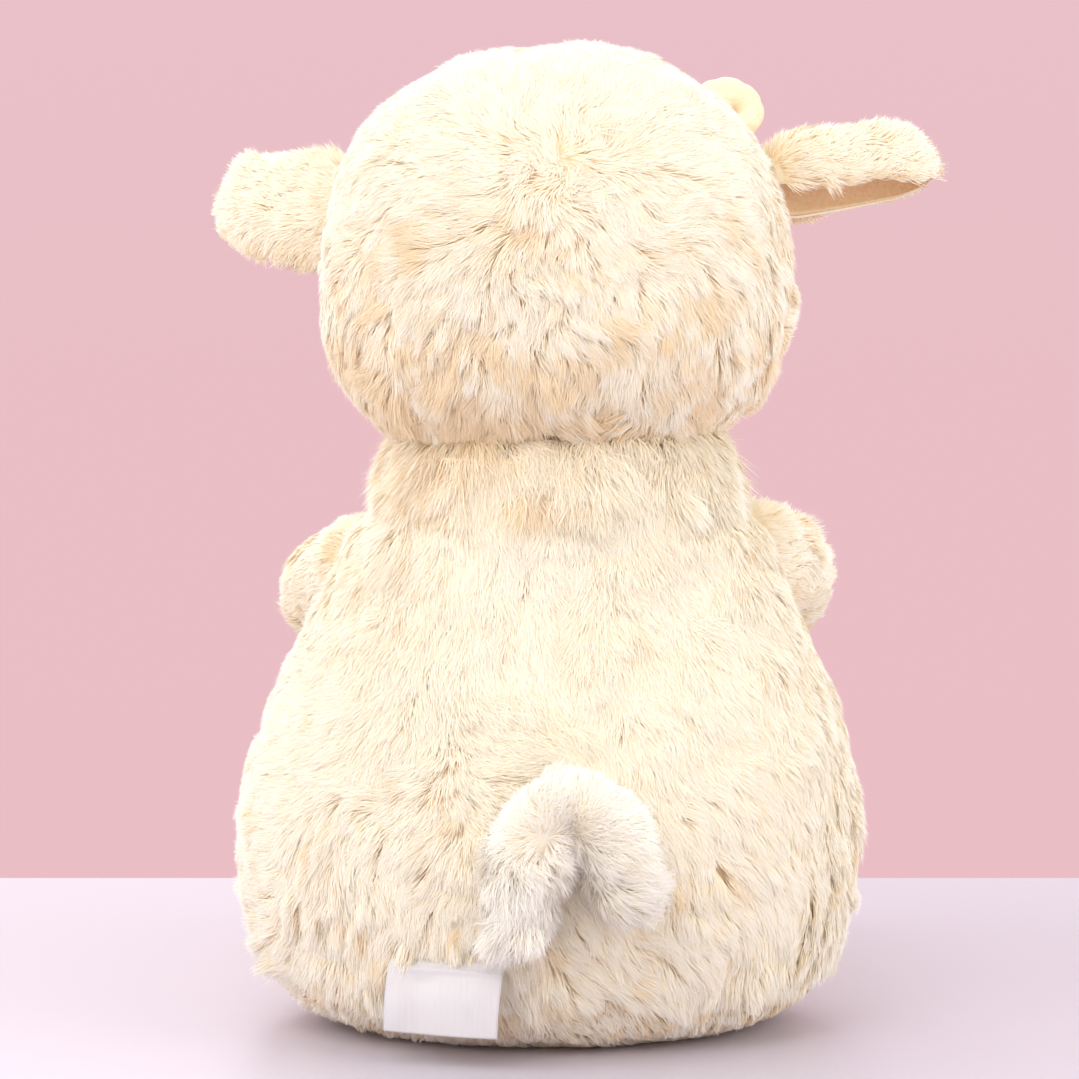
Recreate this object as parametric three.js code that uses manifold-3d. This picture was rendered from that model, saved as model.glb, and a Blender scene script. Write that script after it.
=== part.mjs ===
// A seated plush sheep: fur-cloth covers sewn over fibre filling, with a smooth face, horns and hooves.
// Millimetres, +Z up. The toy faces -Y, its left side is +X, and its base rests on z = 0.
import * as THREE from 'three';
import { mergeVertices } from 'three/addons/utils/BufferGeometryUtils.js';
import Module from 'manifold-3d';

const wasm = await Module();
wasm.setup();

// Cloth and seams
const furCloth = 2.4;
const smoothCloth = 1.8;
const seamGap = 0.3;
const fillGap = 0.35;
const turningGap = 0.7;
const cutOverrun = 5;

// Body: a pear that ends in a round neck, which the head sits on
const bodyHalfWidth = 92.5;
const bodyHalfDepth = 80;
const bodyRise = 203;
const neckBall = 56;
const neckBallHeight = 146;
const neckShift = -3;
const leanStartShare = 0.2;
const baseFlatDepth = 0.5;
const pelletFill = 20;
const bodyColumns = 24;
// Each row: height, half width, back depth and front depth, as shares of the sizes above
const bodyRowShares = [
  [0, 0, 0, 0],
  [0.002, 0.56, 0.58, 0.6],
  [0.013, 0.68, 0.7, 0.72],
  [0.042, 0.83, 0.84, 0.86],
  [0.098, 0.915, 0.92, 0.95],
  [0.17, 0.975, 0.98, 1.01],
  [0.26, 1, 1, 1.03],
  [0.355, 0.985, 0.98, 1],
  [0.455, 0.93, 0.92, 0.93],
  [0.55, 0.845, 0.84, 0.83],
  [0.64, 0.75, 0.765, 0.745],
  [0.73, 0.665, 0.71, 0.69],
];
const basePanelRise = 21;
const neckBallRows = 4;
const neckBallShare = 1.38;

// Head: an egg, widest below its middle, leaning on the neck
const headHalfWidth = 69;
const headHalfDepth = 62;
const headRise = 72;
const headDrop = 54;
const headFullness = 2.3;
const headHeight = 221;
const headShift = -2;
const headRoll = THREE.MathUtils.degToRad(4.5);
const headYaw = THREE.MathUtils.degToRad(-8);
const faceDip = THREE.MathUtils.degToRad(22);
const headColumns = 18;
const headRows = 10;
const faceSeam = 14;

// Thread that draws the head's edge in round the neck
const neckThread = 0.8;
const neckThreadAngle = THREE.MathUtils.degToRad(61);

// Muzzle, on a flat place on the face
const muzzleHalfWidth = 27;
const muzzleHalfHeight = 22;
const muzzleReach = 27;
const muzzleDrop = 15;
const muzzleFlat = 7;
const muzzleDip = THREE.MathUtils.degToRad(14);

// Nose and mouth, stitched on the muzzle
const noseHalfWidth = 8;
const noseHalfHeight = 5.5;
const noseThickness = 3;
const noseRise = 7;
const noseWideningShare = 0.25;
const noseFlat = 0.8;
const mouthThread = 0.7;
const mouthHalfWidth = 8;
const mouthDrop = 7;
const mouthShares = [-1, -0.66, -0.33, 0, 0.33, 0.66, 1];

// Eyes: a domed button with a shank through the face cloth, held by a washer
const eyeRadius = 6.5;
const eyeDome = 4.6;
const shankRadius = 2;
const shankLength = 9;
const washerRadius = 6;
const washerThickness = 1.6;
const washerDepth = 4.4;
const eyeSide = 31;
const eyeRise = 12;

// Ears: a trough of fur cloth with a smooth lining, gathered at its root, its front flap the longer.
// The left one is pressed flatter than the right
const earCloth = 1.8;
const earLining = 1.2;
const earLength = 56;
const earHalfHeights = new Map([[1, 19], [-1, 15.5]]);
const earHalfDepths = new Map([[1, 7.5], [-1, 10]]);
const earRootHalf = 4.2;
const earRounding = 14;
const earTipRounding = 13;
const earDroop = 3;
const earSide = 62;
const earRise = 24.5;
const earForward = 28;
const earFlat = 1.5;
const earAim = THREE.MathUtils.degToRad(28);
const earBackEdge = THREE.MathUtils.degToRad(-105);
const earFrontEdge = THREE.MathUtils.degToRad(150);
const earTwists = new Map([[1, THREE.MathUtils.degToRad(-16)], [-1, 0]]);
const earSteps = [0, 0.04, 0.12, 0.26, 0.5, 0.76, 0.88, 0.95, 1];
const earColumns = 9;

// Horns: a tapered tube that curls once
const hornRoot = 6.5;
const hornTip = 3;
const hornCurl = 7;
const hornCurlShare = 0.55;
const hornTurn = THREE.MathUtils.degToRad(250);
const hornSpread = 5;
const hornStand = 6.5;
const hornOffsets = new Map([[1, 40], [-1, 44]]);
const hornRise = 47;
const hornForward = 34;
const hornFlat = 2.3;
const hornLeanShares = [0.55, 0.15, -0.8];
const hornClothShare = 0.7;
const hornTipShare = 0.7;
const hornSteps = 8;
const hornSides = 8;

// Arms and legs: round-ended tubes whose ball-shaped roots sit in openings in the body
const armRoot = 18.5;
const armShift = -2.4;
const armDrops = new Map([[1, 3.5], [-1, 0]]);
const armPlaces = [[57, -46, 133], [77, -67, 125], [65, -105, 109]];
const armShares = [1, 0.98, 0.93, 0.86, 0.8];
const legRoot = 24;
const legPlaces = [[43, -77.5, 27], [48, -103, 26], [52, -139, 25.5]];
const legShares = [1, 0.99, 0.96, 0.92, 0.9];
const hoofRow = 5;
const limbColumns = 10;
const hoofRounding = 0.75;
const rootRowShares = [0, 0.34, 0.67];
const tipRowShares = [0.36, 0.7, 1];

// Tail: an arch of tufted cloth, sewn on at its top, its right lobe the shorter
const tailRadius = 12;
const tailPlaces = [[4.5, 9.5, 76], [14, 9.5, 68], [15, 9.5, 44.5]];
const tailLifts = new Map([[1, [0, 0, 0]], [-1, [0, 2, 10]]]);
const tailShares = [1, 1, 1, 0.95, 0.8];
const tailShift = -6;
const tailFlat = 1.2;
const tailOpening = 6;

// Care label, bare, sewn in above the base
const labelThickness = 0.5;
const labelHalfWidth = 18;
const labelSteps = 5;
const labelPlaces = [[29, 73.7, 31], [31.5, 84.5, 28], [32, 82, 9.5]];

const colours = {
  fur: { color: 0xfdf0d7, roughness: 0.95, metalness: 0 },
  tailFur: { color: 0xfaf6ee, roughness: 0.95, metalness: 0 },
  smooth: { color: 0xe4c9a0, roughness: 0.85, metalness: 0 },
  horn: { color: 0xf5e2b8, roughness: 0.85, metalness: 0 },
  filling: { color: 0xf4f4f2, roughness: 1, metalness: 0 },
  pellets: { color: 0xe8e6df, roughness: 0.7, metalness: 0 },
  thread: { color: 0xb98f66, roughness: 0.8, metalness: 0 },
  eye: { color: 0x17120f, roughness: 0.12, metalness: 0 },
  washer: { color: 0xdedfe0, roughness: 0.5, metalness: 0 },
  label: { color: 0xf4f2f6, roughness: 0.4, metalness: 0 },
};

const fullTurn = Math.PI * 2;
const toyLeft = 1;
const toyRight = -1;
const sideNames = new Map([[toyLeft, 'left'], [toyRight, 'right']]);
const vector = (x, y, z) => new THREE.Vector3(x, y, z);

// A closed triangle mesh from a list of corners, with its faces out
function closedGeometry(corners) {
  const flat = new THREE.BufferGeometry();
  const numbers = corners.flatMap((corner) => [corner.x, corner.y, corner.z]);
  flat.setAttribute('position', new THREE.Float32BufferAttribute(numbers, 3));
  const merged = mergeVertices(flat, 1e-3);
  const index = merged.index.array;
  const kept = [];
  for (let i = 0; i < index.length; i += 3) {
    const [a, b, c] = [index[i], index[i + 1], index[i + 2]];
    if (a !== b && b !== c && c !== a) kept.push(a, b, c);
  }
  const place = merged.attributes.position;
  const corner = (i) => new THREE.Vector3().fromBufferAttribute(place, i);
  let volume = 0;
  for (let i = 0; i < kept.length; i += 3) {
    volume += corner(kept[i]).dot(corner(kept[i + 1]).cross(corner(kept[i + 2])));
  }
  merged.setIndex(volume < 0 ? kept.reverse() : kept);
  merged.computeVertexNormals();
  return merged;
}

// Boolean cuts and joins
function toSolid(geometry) {
  const bare = geometry.clone();
  bare.deleteAttribute('normal');
  bare.deleteAttribute('uv');
  const merged = mergeVertices(bare, 1e-3);
  return new wasm.Manifold(new wasm.Mesh({
    numProp: 3,
    vertProperties: new Float32Array(merged.attributes.position.array),
    triVerts: new Uint32Array(merged.index.array),
  }));
}

function toGeometry(solid) {
  const mesh = solid.getMesh();
  const geometry = new THREE.BufferGeometry();
  geometry.setAttribute('position', new THREE.BufferAttribute(mesh.vertProperties, 3));
  geometry.setIndex(new THREE.BufferAttribute(mesh.triVerts, 1));
  geometry.computeVertexNormals();
  return geometry;
}

function cut(geometry, cutters) {
  let solid = toSolid(geometry);
  for (const cutter of cutters) solid = solid.subtract(toSolid(cutter));
  return toGeometry(solid);
}

// A faceted ball whose flats all lie outside the true one
function ball(centre, radius) {
  const [around, rings] = [16, 10];
  const widening = 1 / (Math.cos(Math.PI / around) * Math.cos(Math.PI / rings / 2));
  const geometry = new THREE.SphereGeometry(radius * widening, around, rings);
  return geometry.translate(centre.x, centre.y, centre.z);
}

// A block that takes away everything further than reach along a direction
function beyond(normal, reach) {
  const side = bodyRise * 4;
  const geometry = new THREE.BoxGeometry(side, side, side);
  geometry.translate(0, 0, side / 2 + reach);
  return geometry.applyQuaternion(new THREE.Quaternion().setFromUnitVectors(vector(0, 0, 1), normal));
}

// A grid is a list of rows of points round a form; these build, press and trim grids
const copyGrid = (grid) => grid.map((row) => row.map((point) => point.clone()));
const rowCentre = (row) => row.reduce((sum, point) => sum.add(point), vector(0, 0, 0)).divideScalar(row.length);

function insetGrid(grid, depth) {
  const last = grid.length - 1;
  const middle = rowCentre(grid.map(rowCentre));
  const normals = grid.map((row, r) => row.map((point, c) => {
    const across = row[(c + 1) % row.length].clone().sub(row[(c - 1 + row.length) % row.length]);
    const along = grid[Math.min(r + 1, last)][c].clone().sub(grid[Math.max(r - 1, 0)][c]);
    return across.cross(along).normalize();
  }));
  let facing = 0;
  grid.forEach((row, r) => row.forEach((point, c) => {
    facing += normals[r][c].dot(point.clone().sub(middle));
  }));
  const sign = Math.sign(facing);
  return grid.map((row, r) => row.map((point, c) => {
    const isPole = row[0].distanceTo(row[1]) === 0;
    const beside = r === 0 ? grid[1] : grid[Math.max(r - 1, 0)];
    const normal = isPole ? point.clone().sub(rowCentre(beside)).normalize() : normals[r][c].multiplyScalar(sign);
    return point.clone().addScaledVector(normal, -depth);
  }));
}

function pressFlat(grid, normal, reach) {
  for (const point of grid.flat()) {
    const excess = point.dot(normal) - reach;
    if (excess > 0) point.addScaledVector(normal, -excess);
  }
  return grid;
}

function trimRow(grid, row, toward, distance) {
  grid[row].forEach((point, c) => {
    const step = grid[toward][c].clone().sub(point);
    if (step.length() > distance) point.addScaledVector(step.normalize(), distance);
  });
  return grid;
}

function pushQuad(corners, a, b, c, d) {
  corners.push(a, b, c, a, c, d);
}

// A cloth shell between an outer and an inner grid, open where the grids end
function shell(outer, inner, closed = true) {
  const corners = [];
  const columns = outer[0].length;
  const span = closed ? columns : columns - 1;
  const end = outer.length - 1;
  for (let c = 0; c < span; c++) {
    const n = (c + 1) % columns;
    for (let r = 0; r < end; r++) {
      pushQuad(corners, outer[r][c], outer[r][n], outer[r + 1][n], outer[r + 1][c]);
      pushQuad(corners, inner[r][c], inner[r + 1][c], inner[r + 1][n], inner[r][n]);
    }
    pushQuad(corners, outer[0][n], outer[0][c], inner[0][c], inner[0][n]);
    pushQuad(corners, outer[end][c], outer[end][n], inner[end][n], inner[end][c]);
  }
  const edge = columns - 1;
  for (let r = 0; r < end && !closed; r++) {
    pushQuad(corners, outer[r][0], outer[r + 1][0], inner[r + 1][0], inner[r][0]);
    pushQuad(corners, outer[r + 1][edge], outer[r][edge], inner[r][edge], inner[r + 1][edge]);
  }
  return closedGeometry(corners);
}

// A full solid inside one grid, with its end rows capped
function core(grid) {
  const corners = [];
  const columns = grid[0].length;
  const end = grid.length - 1;
  const [first, final] = [rowCentre(grid[0]), rowCentre(grid[end])];
  for (let c = 0; c < columns; c++) {
    const n = (c + 1) % columns;
    for (let r = 0; r < end; r++) pushQuad(corners, grid[r][c], grid[r][n], grid[r + 1][n], grid[r + 1][c]);
    corners.push(grid[0][n], grid[0][c], first, grid[end][c], grid[end][n], final);
  }
  return closedGeometry(corners);
}

function addPiece(group, name, geometry, look) {
  const mesh = new THREE.Mesh(geometry, new THREE.MeshStandardMaterial(look));
  mesh.name = name;
  group.add(mesh);
  return mesh;
}

// Rows of a round-ended tube along a curve; columns start at a fixed side direction
function tubeRing(centre, tangent, radius, columns, sideways) {
  const across = sideways.clone().addScaledVector(tangent, -sideways.dot(tangent)).normalize();
  const up = tangent.clone().cross(across);
  return Array.from({ length: columns }, (_, c) => {
    const angle = (c / columns) * fullTurn;
    const point = centre.clone().addScaledVector(across, radius * Math.cos(angle));
    return point.addScaledVector(up, radius * Math.sin(angle));
  });
}

const sheep = new THREE.Group();

// Body, whose upper part leans to one side as it rises to the neck
function bodyLean(height) {
  const start = bodyRise * leanStartShare;
  return neckShift * THREE.MathUtils.smoothstep(height, start, neckBallHeight);
}

function bodyGrid() {
  const rows = bodyRowShares.map(([height, width, back, front]) => ({
    z: height * bodyRise - baseFlatDepth,
    x: width * bodyHalfWidth,
    back: back * bodyHalfDepth,
    front: front * bodyHalfDepth,
  }));
  for (let i = 0; i <= neckBallRows; i++) {
    const angle = neckBallShare * (1 - i / neckBallRows);
    const radius = neckBall * Math.sin(angle);
    rows.push({ z: neckBallHeight + neckBall * Math.cos(angle), x: radius, back: radius, front: radius });
  }
  return rows.map((row) => Array.from({ length: bodyColumns }, (_, c) => {
    const angle = (c / bodyColumns) * fullTurn;
    const depth = Math.sin(angle) > 0 ? row.back : row.front;
    return vector(row.x * Math.cos(angle) + bodyLean(row.z), depth * Math.sin(angle), row.z);
  }));
}

const [armCentre, legCentre] = [vector(...armPlaces[0]), vector(...legPlaces[0])];
const otherSide = (point, side) => vector(point.x * side, point.y, point.z);
const armOffset = (side) => vector(armShift, 0, -armDrops.get(side));
const [up, down] = [vector(0, 0, 1), vector(0, 0, -1)];
const [backward, forward] = [vector(0, 1, 0), vector(0, -1, 0)];
const [leftward, rightward] = [vector(1, 0, 0), vector(-1, 0, 0)];
const tailFace = bodyHalfDepth - tailFlat;

function addBody() {
  const full = bodyGrid();
  const openings = [toyLeft, toyRight].flatMap((side) => [
    ball(otherSide(armCentre, side).add(armOffset(side)), armRoot + turningGap),
    ball(otherSide(legCentre, side), legRoot + turningGap),
  ]);
  const layer = (depth, cutters) => {
    const flats = [beyond(down, -depth), beyond(backward, tailFace - depth)];
    return cut(core(depth === 0 ? full : insetGrid(full, depth)), [...flats, ...cutters]);
  };
  const cover = cut(layer(0, openings), [layer(furCloth, [])]);
  const filling = layer(furCloth + fillGap, openings);

  const edge = seamGap / 2;
  const lower = beyond(down, -basePanelRise - edge);
  const backHalf = [lower, beyond(forward, -edge)];
  addPiece(sheep, 'body_back_left', cut(cover, [...backHalf, beyond(rightward, -edge)]), colours.fur);
  addPiece(sheep, 'body_back_right', cut(cover, [...backHalf, beyond(leftward, -edge)]), colours.fur);
  addPiece(sheep, 'body_belly', cut(cover, [lower, beyond(backward, -edge)]), colours.fur);
  addPiece(sheep, 'base_panel', cut(cover, [beyond(up, basePanelRise - edge)]), colours.fur);
  addPiece(sheep, 'body_stuffing', cut(filling, [beyond(down, -pelletFill - edge)]), colours.filling);
  addPiece(sheep, 'pellet_bag', cut(filling, [beyond(up, pelletFill - edge)]), colours.pellets);
}

// Arms and legs
function limbGrid(places, root, shares) {
  const path = new THREE.QuadraticBezierCurve3(...places.map((place) => vector(...place)));
  const sideways = vector(0, 0, 1);
  const start = path.getTangent(0);
  const finish = path.getTangent(1);
  const rows = rootRowShares.map((share) => {
    const angle = share * Math.PI / 2;
    const centre = path.getPoint(0).addScaledVector(start, -root * Math.cos(angle));
    return tubeRing(centre, start, root * Math.sin(angle), limbColumns, sideways);
  });
  shares.forEach((share, i) => {
    const t = i / (shares.length - 1);
    rows.push(tubeRing(path.getPoint(t), path.getTangent(t), root * share, limbColumns, sideways));
  });
  const endRadius = root * shares[shares.length - 1];
  tipRowShares.forEach((share) => {
    const angle = share * Math.PI / 2;
    const centre = path.getPoint(1).addScaledVector(finish, endRadius * hoofRounding * Math.sin(angle));
    const radius = share === 1 ? 0 : endRadius * Math.cos(angle);
    rows.push(tubeRing(centre, finish, radius, limbColumns, sideways));
  });
  return rows;
}

function addLimb(kind, places, root, shares, side, shift) {
  const name = sideNames.get(side);
  const mirrored = places.map(([x, y, z]) => [x * side + shift.x, y, z + shift.z]);
  const outside = limbGrid(mirrored, root, shares);
  const inside = insetGrid(outside, furCloth);
  const openRow = 2;
  const [coverOuter, coverInner] = [outside, inside].map((grid) => {
    const part = copyGrid(grid.slice(openRow, hoofRow + 1));
    return trimRow(part, part.length - 1, part.length - 2, seamGap / 2);
  });
  const [hoofOuter, hoofInner] = [outside, inside].map((grid) => {
    const part = copyGrid(grid.slice(hoofRow));
    return trimRow(part, 0, 1, seamGap / 2);
  });
  addPiece(sheep, `${kind}_cover_${name}`, shell(coverOuter, coverInner), colours.fur);
  addPiece(sheep, `${kind}_hoof_${name}`, shell(hoofOuter, hoofInner), colours.smooth);
  addPiece(sheep, `${kind}_stuffing_${name}`, core(insetGrid(outside, furCloth + fillGap)), colours.filling);
}

// Head, in a group of its own that leans and turns as the toy's head does
const headGroup = new THREE.Group();
headGroup.position.set(headShift, 0, headHeight);
headGroup.rotation.set(0, headRoll, headYaw, 'ZYX');
headGroup.updateMatrix();
sheep.add(headGroup);
const neckCentre = vector(neckShift, 0, neckBallHeight);
const neckInHead = neckCentre.clone().applyMatrix4(headGroup.matrix.clone().invert());

function eggReach(direction) {
  const height = direction.z > 0 ? headRise : headDrop;
  const sum = Math.abs(direction.x / headHalfWidth) ** headFullness
    + Math.abs(direction.y / headHalfDepth) ** headFullness
    + Math.abs(direction.z / height) ** headFullness;
  return sum ** (-1 / headFullness);
}

function eggPoint(direction) {
  return direction.clone().multiplyScalar(eggReach(direction));
}

// The egg's point and outward normal at a given side, rise and forward place
function eggPlace(side, rise, forward) {
  const point = eggPoint(vector(side, -forward, rise).normalize());
  const height = point.z > 0 ? headRise : headDrop;
  const slope = (value, size) => Math.sign(value) * Math.abs(value / size) ** (headFullness - 1) / size;
  const normal = vector(slope(point.x, headHalfWidth), slope(point.y, headHalfDepth), slope(point.z, height));
  return { point, normal: normal.normalize() };
}

const muzzleAxis = vector(0, -Math.cos(muzzleDip), -Math.sin(muzzleDip));
const muzzlePlace = eggPoint(vector(0, -headHalfDepth, -muzzleDrop).normalize());
const muzzleSeat = muzzlePlace.dot(muzzleAxis) - muzzleFlat;
const earAxis = (side) => vector(side * Math.cos(earAim), -Math.sin(earAim), 0);
const earPlace = (side) => eggPlace(side * earSide, earRise, earForward).point;
const hornPlace = (side) => eggPlace(side * hornOffsets.get(side), hornRise, hornForward);

const faceAxis = vector(0, -Math.cos(faceDip), -Math.sin(faceDip));
const faceUp = vector(0, -Math.sin(faceDip), Math.cos(faceDip));

function headGrid() {
  return Array.from({ length: headRows + 1 }, (_, r) => {
    const polar = (r / headRows) * Math.PI;
    const spread = r === 0 || r === headRows ? 0 : Math.sin(polar);
    return Array.from({ length: headColumns }, (_, c) => {
      const angle = (c / headColumns) * fullTurn;
      const direction = faceAxis.clone().multiplyScalar(Math.cos(polar));
      direction.addScaledVector(leftward, spread * Math.cos(angle));
      direction.addScaledVector(faceUp, spread * Math.sin(angle));
      return eggPoint(direction.normalize());
    });
  });
}

function addHead() {
  const full = headGrid();
  const layer = (depth) => {
    const cutters = [ball(neckInHead, neckBall + turningGap + depth), beyond(muzzleAxis, muzzleSeat - depth)];
    for (const side of [toyLeft, toyRight]) {
      cutters.push(beyond(earAxis(side), earPlace(side).dot(earAxis(side)) - earFlat - depth));
      const horn = hornPlace(side);
      cutters.push(beyond(horn.normal, horn.point.dot(horn.normal) - hornFlat - depth));
    }
    return cut(core(depth === 0 ? full : insetGrid(full, depth)), cutters);
  };
  const cover = cut(layer(0), [layer(furCloth)]);
  const edge = seamGap / 2;
  const facePart = beyond(faceAxis, faceSeam - edge);
  addPiece(headGroup, 'head_back_left', cut(cover, [facePart, beyond(rightward, -edge)]), colours.fur);
  addPiece(headGroup, 'head_back_right', cut(cover, [facePart, beyond(leftward, -edge)]), colours.fur);

  const eyes = [toyLeft, toyRight].map(eyeSeat);
  const shankHoles = eyes.map((eye) => rod(eye, shankRadius + seamGap, cutOverrun, furCloth + cutOverrun));
  const backPart = beyond(faceAxis.clone().negate(), -faceSeam - edge);
  addPiece(headGroup, 'face_panel', cut(cover, [backPart, ...shankHoles]), colours.smooth);
  const pockets = eyes.map((eye) => rod(eye, washerRadius + seamGap, cutOverrun, shankLength + seamGap * 2));
  addPiece(headGroup, 'head_stuffing', cut(layer(furCloth + fillGap), pockets), colours.filling);
}

// A place on the egg turned so that +Y points out of the cloth
function eyeSeat(side) {
  const { point, normal } = eggPlace(side * eyeSide, eyeRise, Math.sqrt(headHalfDepth ** 2 - eyeSide ** 2));
  const matrix = new THREE.Matrix4().compose(
    point,
    new THREE.Quaternion().setFromUnitVectors(vector(0, 1, 0), normal),
    vector(1, 1, 1),
  );
  return { matrix, side };
}

function rod({ matrix }, radius, above, below) {
  const geometry = new THREE.CylinderGeometry(radius, radius, above + below, 12);
  return geometry.translate(0, (above - below) / 2, 0).applyMatrix4(matrix);
}

function lathe(outline, turns) {
  const profile = outline.map(([radius, height]) => new THREE.Vector2(radius, height));
  return closedGeometry(trianglesOf(new THREE.LatheGeometry(profile, turns)));
}

function trianglesOf(geometry) {
  const place = geometry.toNonIndexed().attributes.position;
  return Array.from({ length: place.count }, (_, i) => new THREE.Vector3().fromBufferAttribute(place, i));
}

function addEyes() {
  for (const side of [toyLeft, toyRight]) {
    const { matrix } = eyeSeat(side);
    const name = sideNames.get(side);
    const steps = 4;
    const dome = Array.from({ length: steps + 1 }, (_, i) => {
      const angle = (i / steps) * Math.PI / 2;
      return [i === 0 ? 0 : eyeRadius * Math.sin(angle), seamGap + eyeDome * Math.cos(angle)];
    });
    const shank = [[shankRadius, seamGap], [shankRadius, -shankLength], [0, -shankLength]];
    addPiece(headGroup, `eye_${name}`, lathe([...dome, ...shank], 12).applyMatrix4(matrix), colours.eye);
    const top = -washerDepth;
    const bottom = top - washerThickness;
    const bore = shankRadius + seamGap / 2;
    const ring = [[bore, top], [washerRadius, top], [washerRadius, bottom], [bore, bottom], [bore, top]];
    addPiece(headGroup, `eye_washer_${name}`, lathe(ring, 12).applyMatrix4(matrix), colours.washer);
  }
}

// Muzzle, nose and mouth
const muzzleUp = vector(0, -Math.sin(muzzleDip), Math.cos(muzzleDip));
const muzzleOrigin = muzzlePlace.clone().addScaledVector(
  muzzleAxis,
  muzzleSeat + seamGap - muzzlePlace.dot(muzzleAxis),
);

function muzzlePoint(polar, angle, outward) {
  const spread = Math.sin(polar);
  const point = muzzleOrigin.clone().addScaledVector(muzzleAxis, (muzzleReach + outward) * Math.cos(polar));
  point.addScaledVector(leftward, (muzzleHalfWidth + outward) * spread * Math.cos(angle));
  return point.addScaledVector(muzzleUp, (muzzleHalfHeight + outward) * spread * Math.sin(angle));
}

function addMuzzle() {
  const [rows, columns] = [5, 16];
  const layer = (depth) => {
    const grid = Array.from({ length: rows + 1 }, (_, r) => Array.from({ length: columns }, (_, c) => (
      muzzlePoint((r / rows) * Math.PI / 2, (c / columns) * fullTurn, -depth)
    )));
    return pressFlat(grid, noseSeat.normal, noseSeat.reach - depth);
  };
  addPiece(headGroup, 'muzzle_cover', shell(layer(0), layer(smoothCloth)), colours.smooth);
  addPiece(headGroup, 'muzzle_stuffing', core(layer(smoothCloth + fillGap)), colours.filling);
}

const noseAngle = Math.asin(noseRise / muzzleHalfHeight);
const noseCentre = muzzlePoint(noseAngle, Math.PI / 2, 0);
const noseNormal = muzzleAxis.clone().multiplyScalar(Math.cos(noseAngle) / muzzleReach)
  .addScaledVector(muzzleUp, Math.sin(noseAngle) / muzzleHalfHeight).normalize();
const noseSeat = { normal: noseNormal, reach: noseCentre.dot(noseNormal) - noseFlat };

function addNoseAndMouth() {
  const steps = 3;
  const columns = 14;
  const noseUp = noseSeat.normal.clone().cross(leftward);
  const origin = noseCentre.clone().addScaledVector(noseSeat.normal, seamGap - noseFlat);
  const grid = Array.from({ length: steps + 1 }, (_, r) => Array.from({ length: columns }, (_, c) => {
    const polar = (r / steps) * Math.PI / 2;
    const angle = (c / columns) * fullTurn;
    const widening = 1 + noseWideningShare * Math.sin(angle);
    const point = origin.clone().addScaledVector(noseSeat.normal, noseThickness * Math.cos(polar));
    point.addScaledVector(leftward, noseHalfWidth * widening * Math.sin(polar) * Math.cos(angle));
    return point.addScaledVector(noseUp, noseHalfHeight * Math.sin(polar) * Math.sin(angle));
  }));
  addPiece(headGroup, 'nose', core(grid), colours.thread);

  const stitch = (share) => {
    const angle = -Math.PI / 2 + share * Math.asin(mouthHalfWidth / muzzleHalfWidth) * 2;
    const polar = Math.asin((mouthDrop + mouthDrop * share * share / 2) / muzzleHalfHeight);
    return muzzlePoint(polar, angle, mouthThread + seamGap);
  };
  const shares = mouthShares;
  const curve = new THREE.CatmullRomCurve3(shares.map(stitch));
  const rings = shares.map((_, i) => {
    const t = i / (shares.length - 1);
    return tubeRing(curve.getPoint(t), curve.getTangent(t), mouthThread, 6, vector(0, -1, 0));
  });
  addPiece(headGroup, 'mouth_stitch', core(rings), colours.thread);
}

// Ears
function earLayer(side, from, to) {
  const axis = earAxis(side);
  const ahead = forward.clone().addScaledVector(axis, -forward.dot(axis)).normalize();
  const twist = earTwists.get(side);
  const deep = ahead.clone().multiplyScalar(Math.cos(twist)).addScaledVector(up, Math.sin(twist));
  const high = up.clone().multiplyScalar(Math.cos(twist)).addScaledVector(ahead, -Math.sin(twist));
  const root = earPlace(side).addScaledVector(axis, turningGap - earFlat);
  const sheet = (depth) => earSteps.map((share) => {
    const along = share * earLength;
    const rootShare = Math.min(along / earRounding, 1) - 1;
    const tipShare = Math.max(along - earLength + earTipRounding, 0) / earTipRounding;
    const swell = Math.sqrt(1 - rootShare ** 2) * Math.sqrt(Math.max(1 - tipShare ** 2, 0));
    const halfHeight = Math.max(earHalfHeights.get(side) * swell, earRootHalf) - depth;
    const halfDepth = Math.max(earHalfDepths.get(side) * swell, earRootHalf) - depth;
    const middle = root.clone().addScaledVector(axis, along).addScaledVector(up, -earDroop * share * share);
    return Array.from({ length: earColumns }, (_, c) => {
      const angle = earBackEdge + (earFrontEdge - earBackEdge) * (c / (earColumns - 1));
      const point = middle.clone().addScaledVector(deep, halfDepth * Math.sin(angle));
      return point.addScaledVector(high, halfHeight * Math.cos(angle));
    });
  });
  return shell(sheet(from), sheet(to), false);
}

function addEars() {
  const liningDepth = earCloth + seamGap;
  for (const side of [toyLeft, toyRight]) {
    const name = sideNames.get(side);
    addPiece(headGroup, `ear_outer_${name}`, earLayer(side, 0, earCloth), colours.fur);
    const lining = earLayer(side, liningDepth, liningDepth + earLining);
    addPiece(headGroup, `ear_lining_${name}`, lining, colours.smooth);
  }
}

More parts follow.
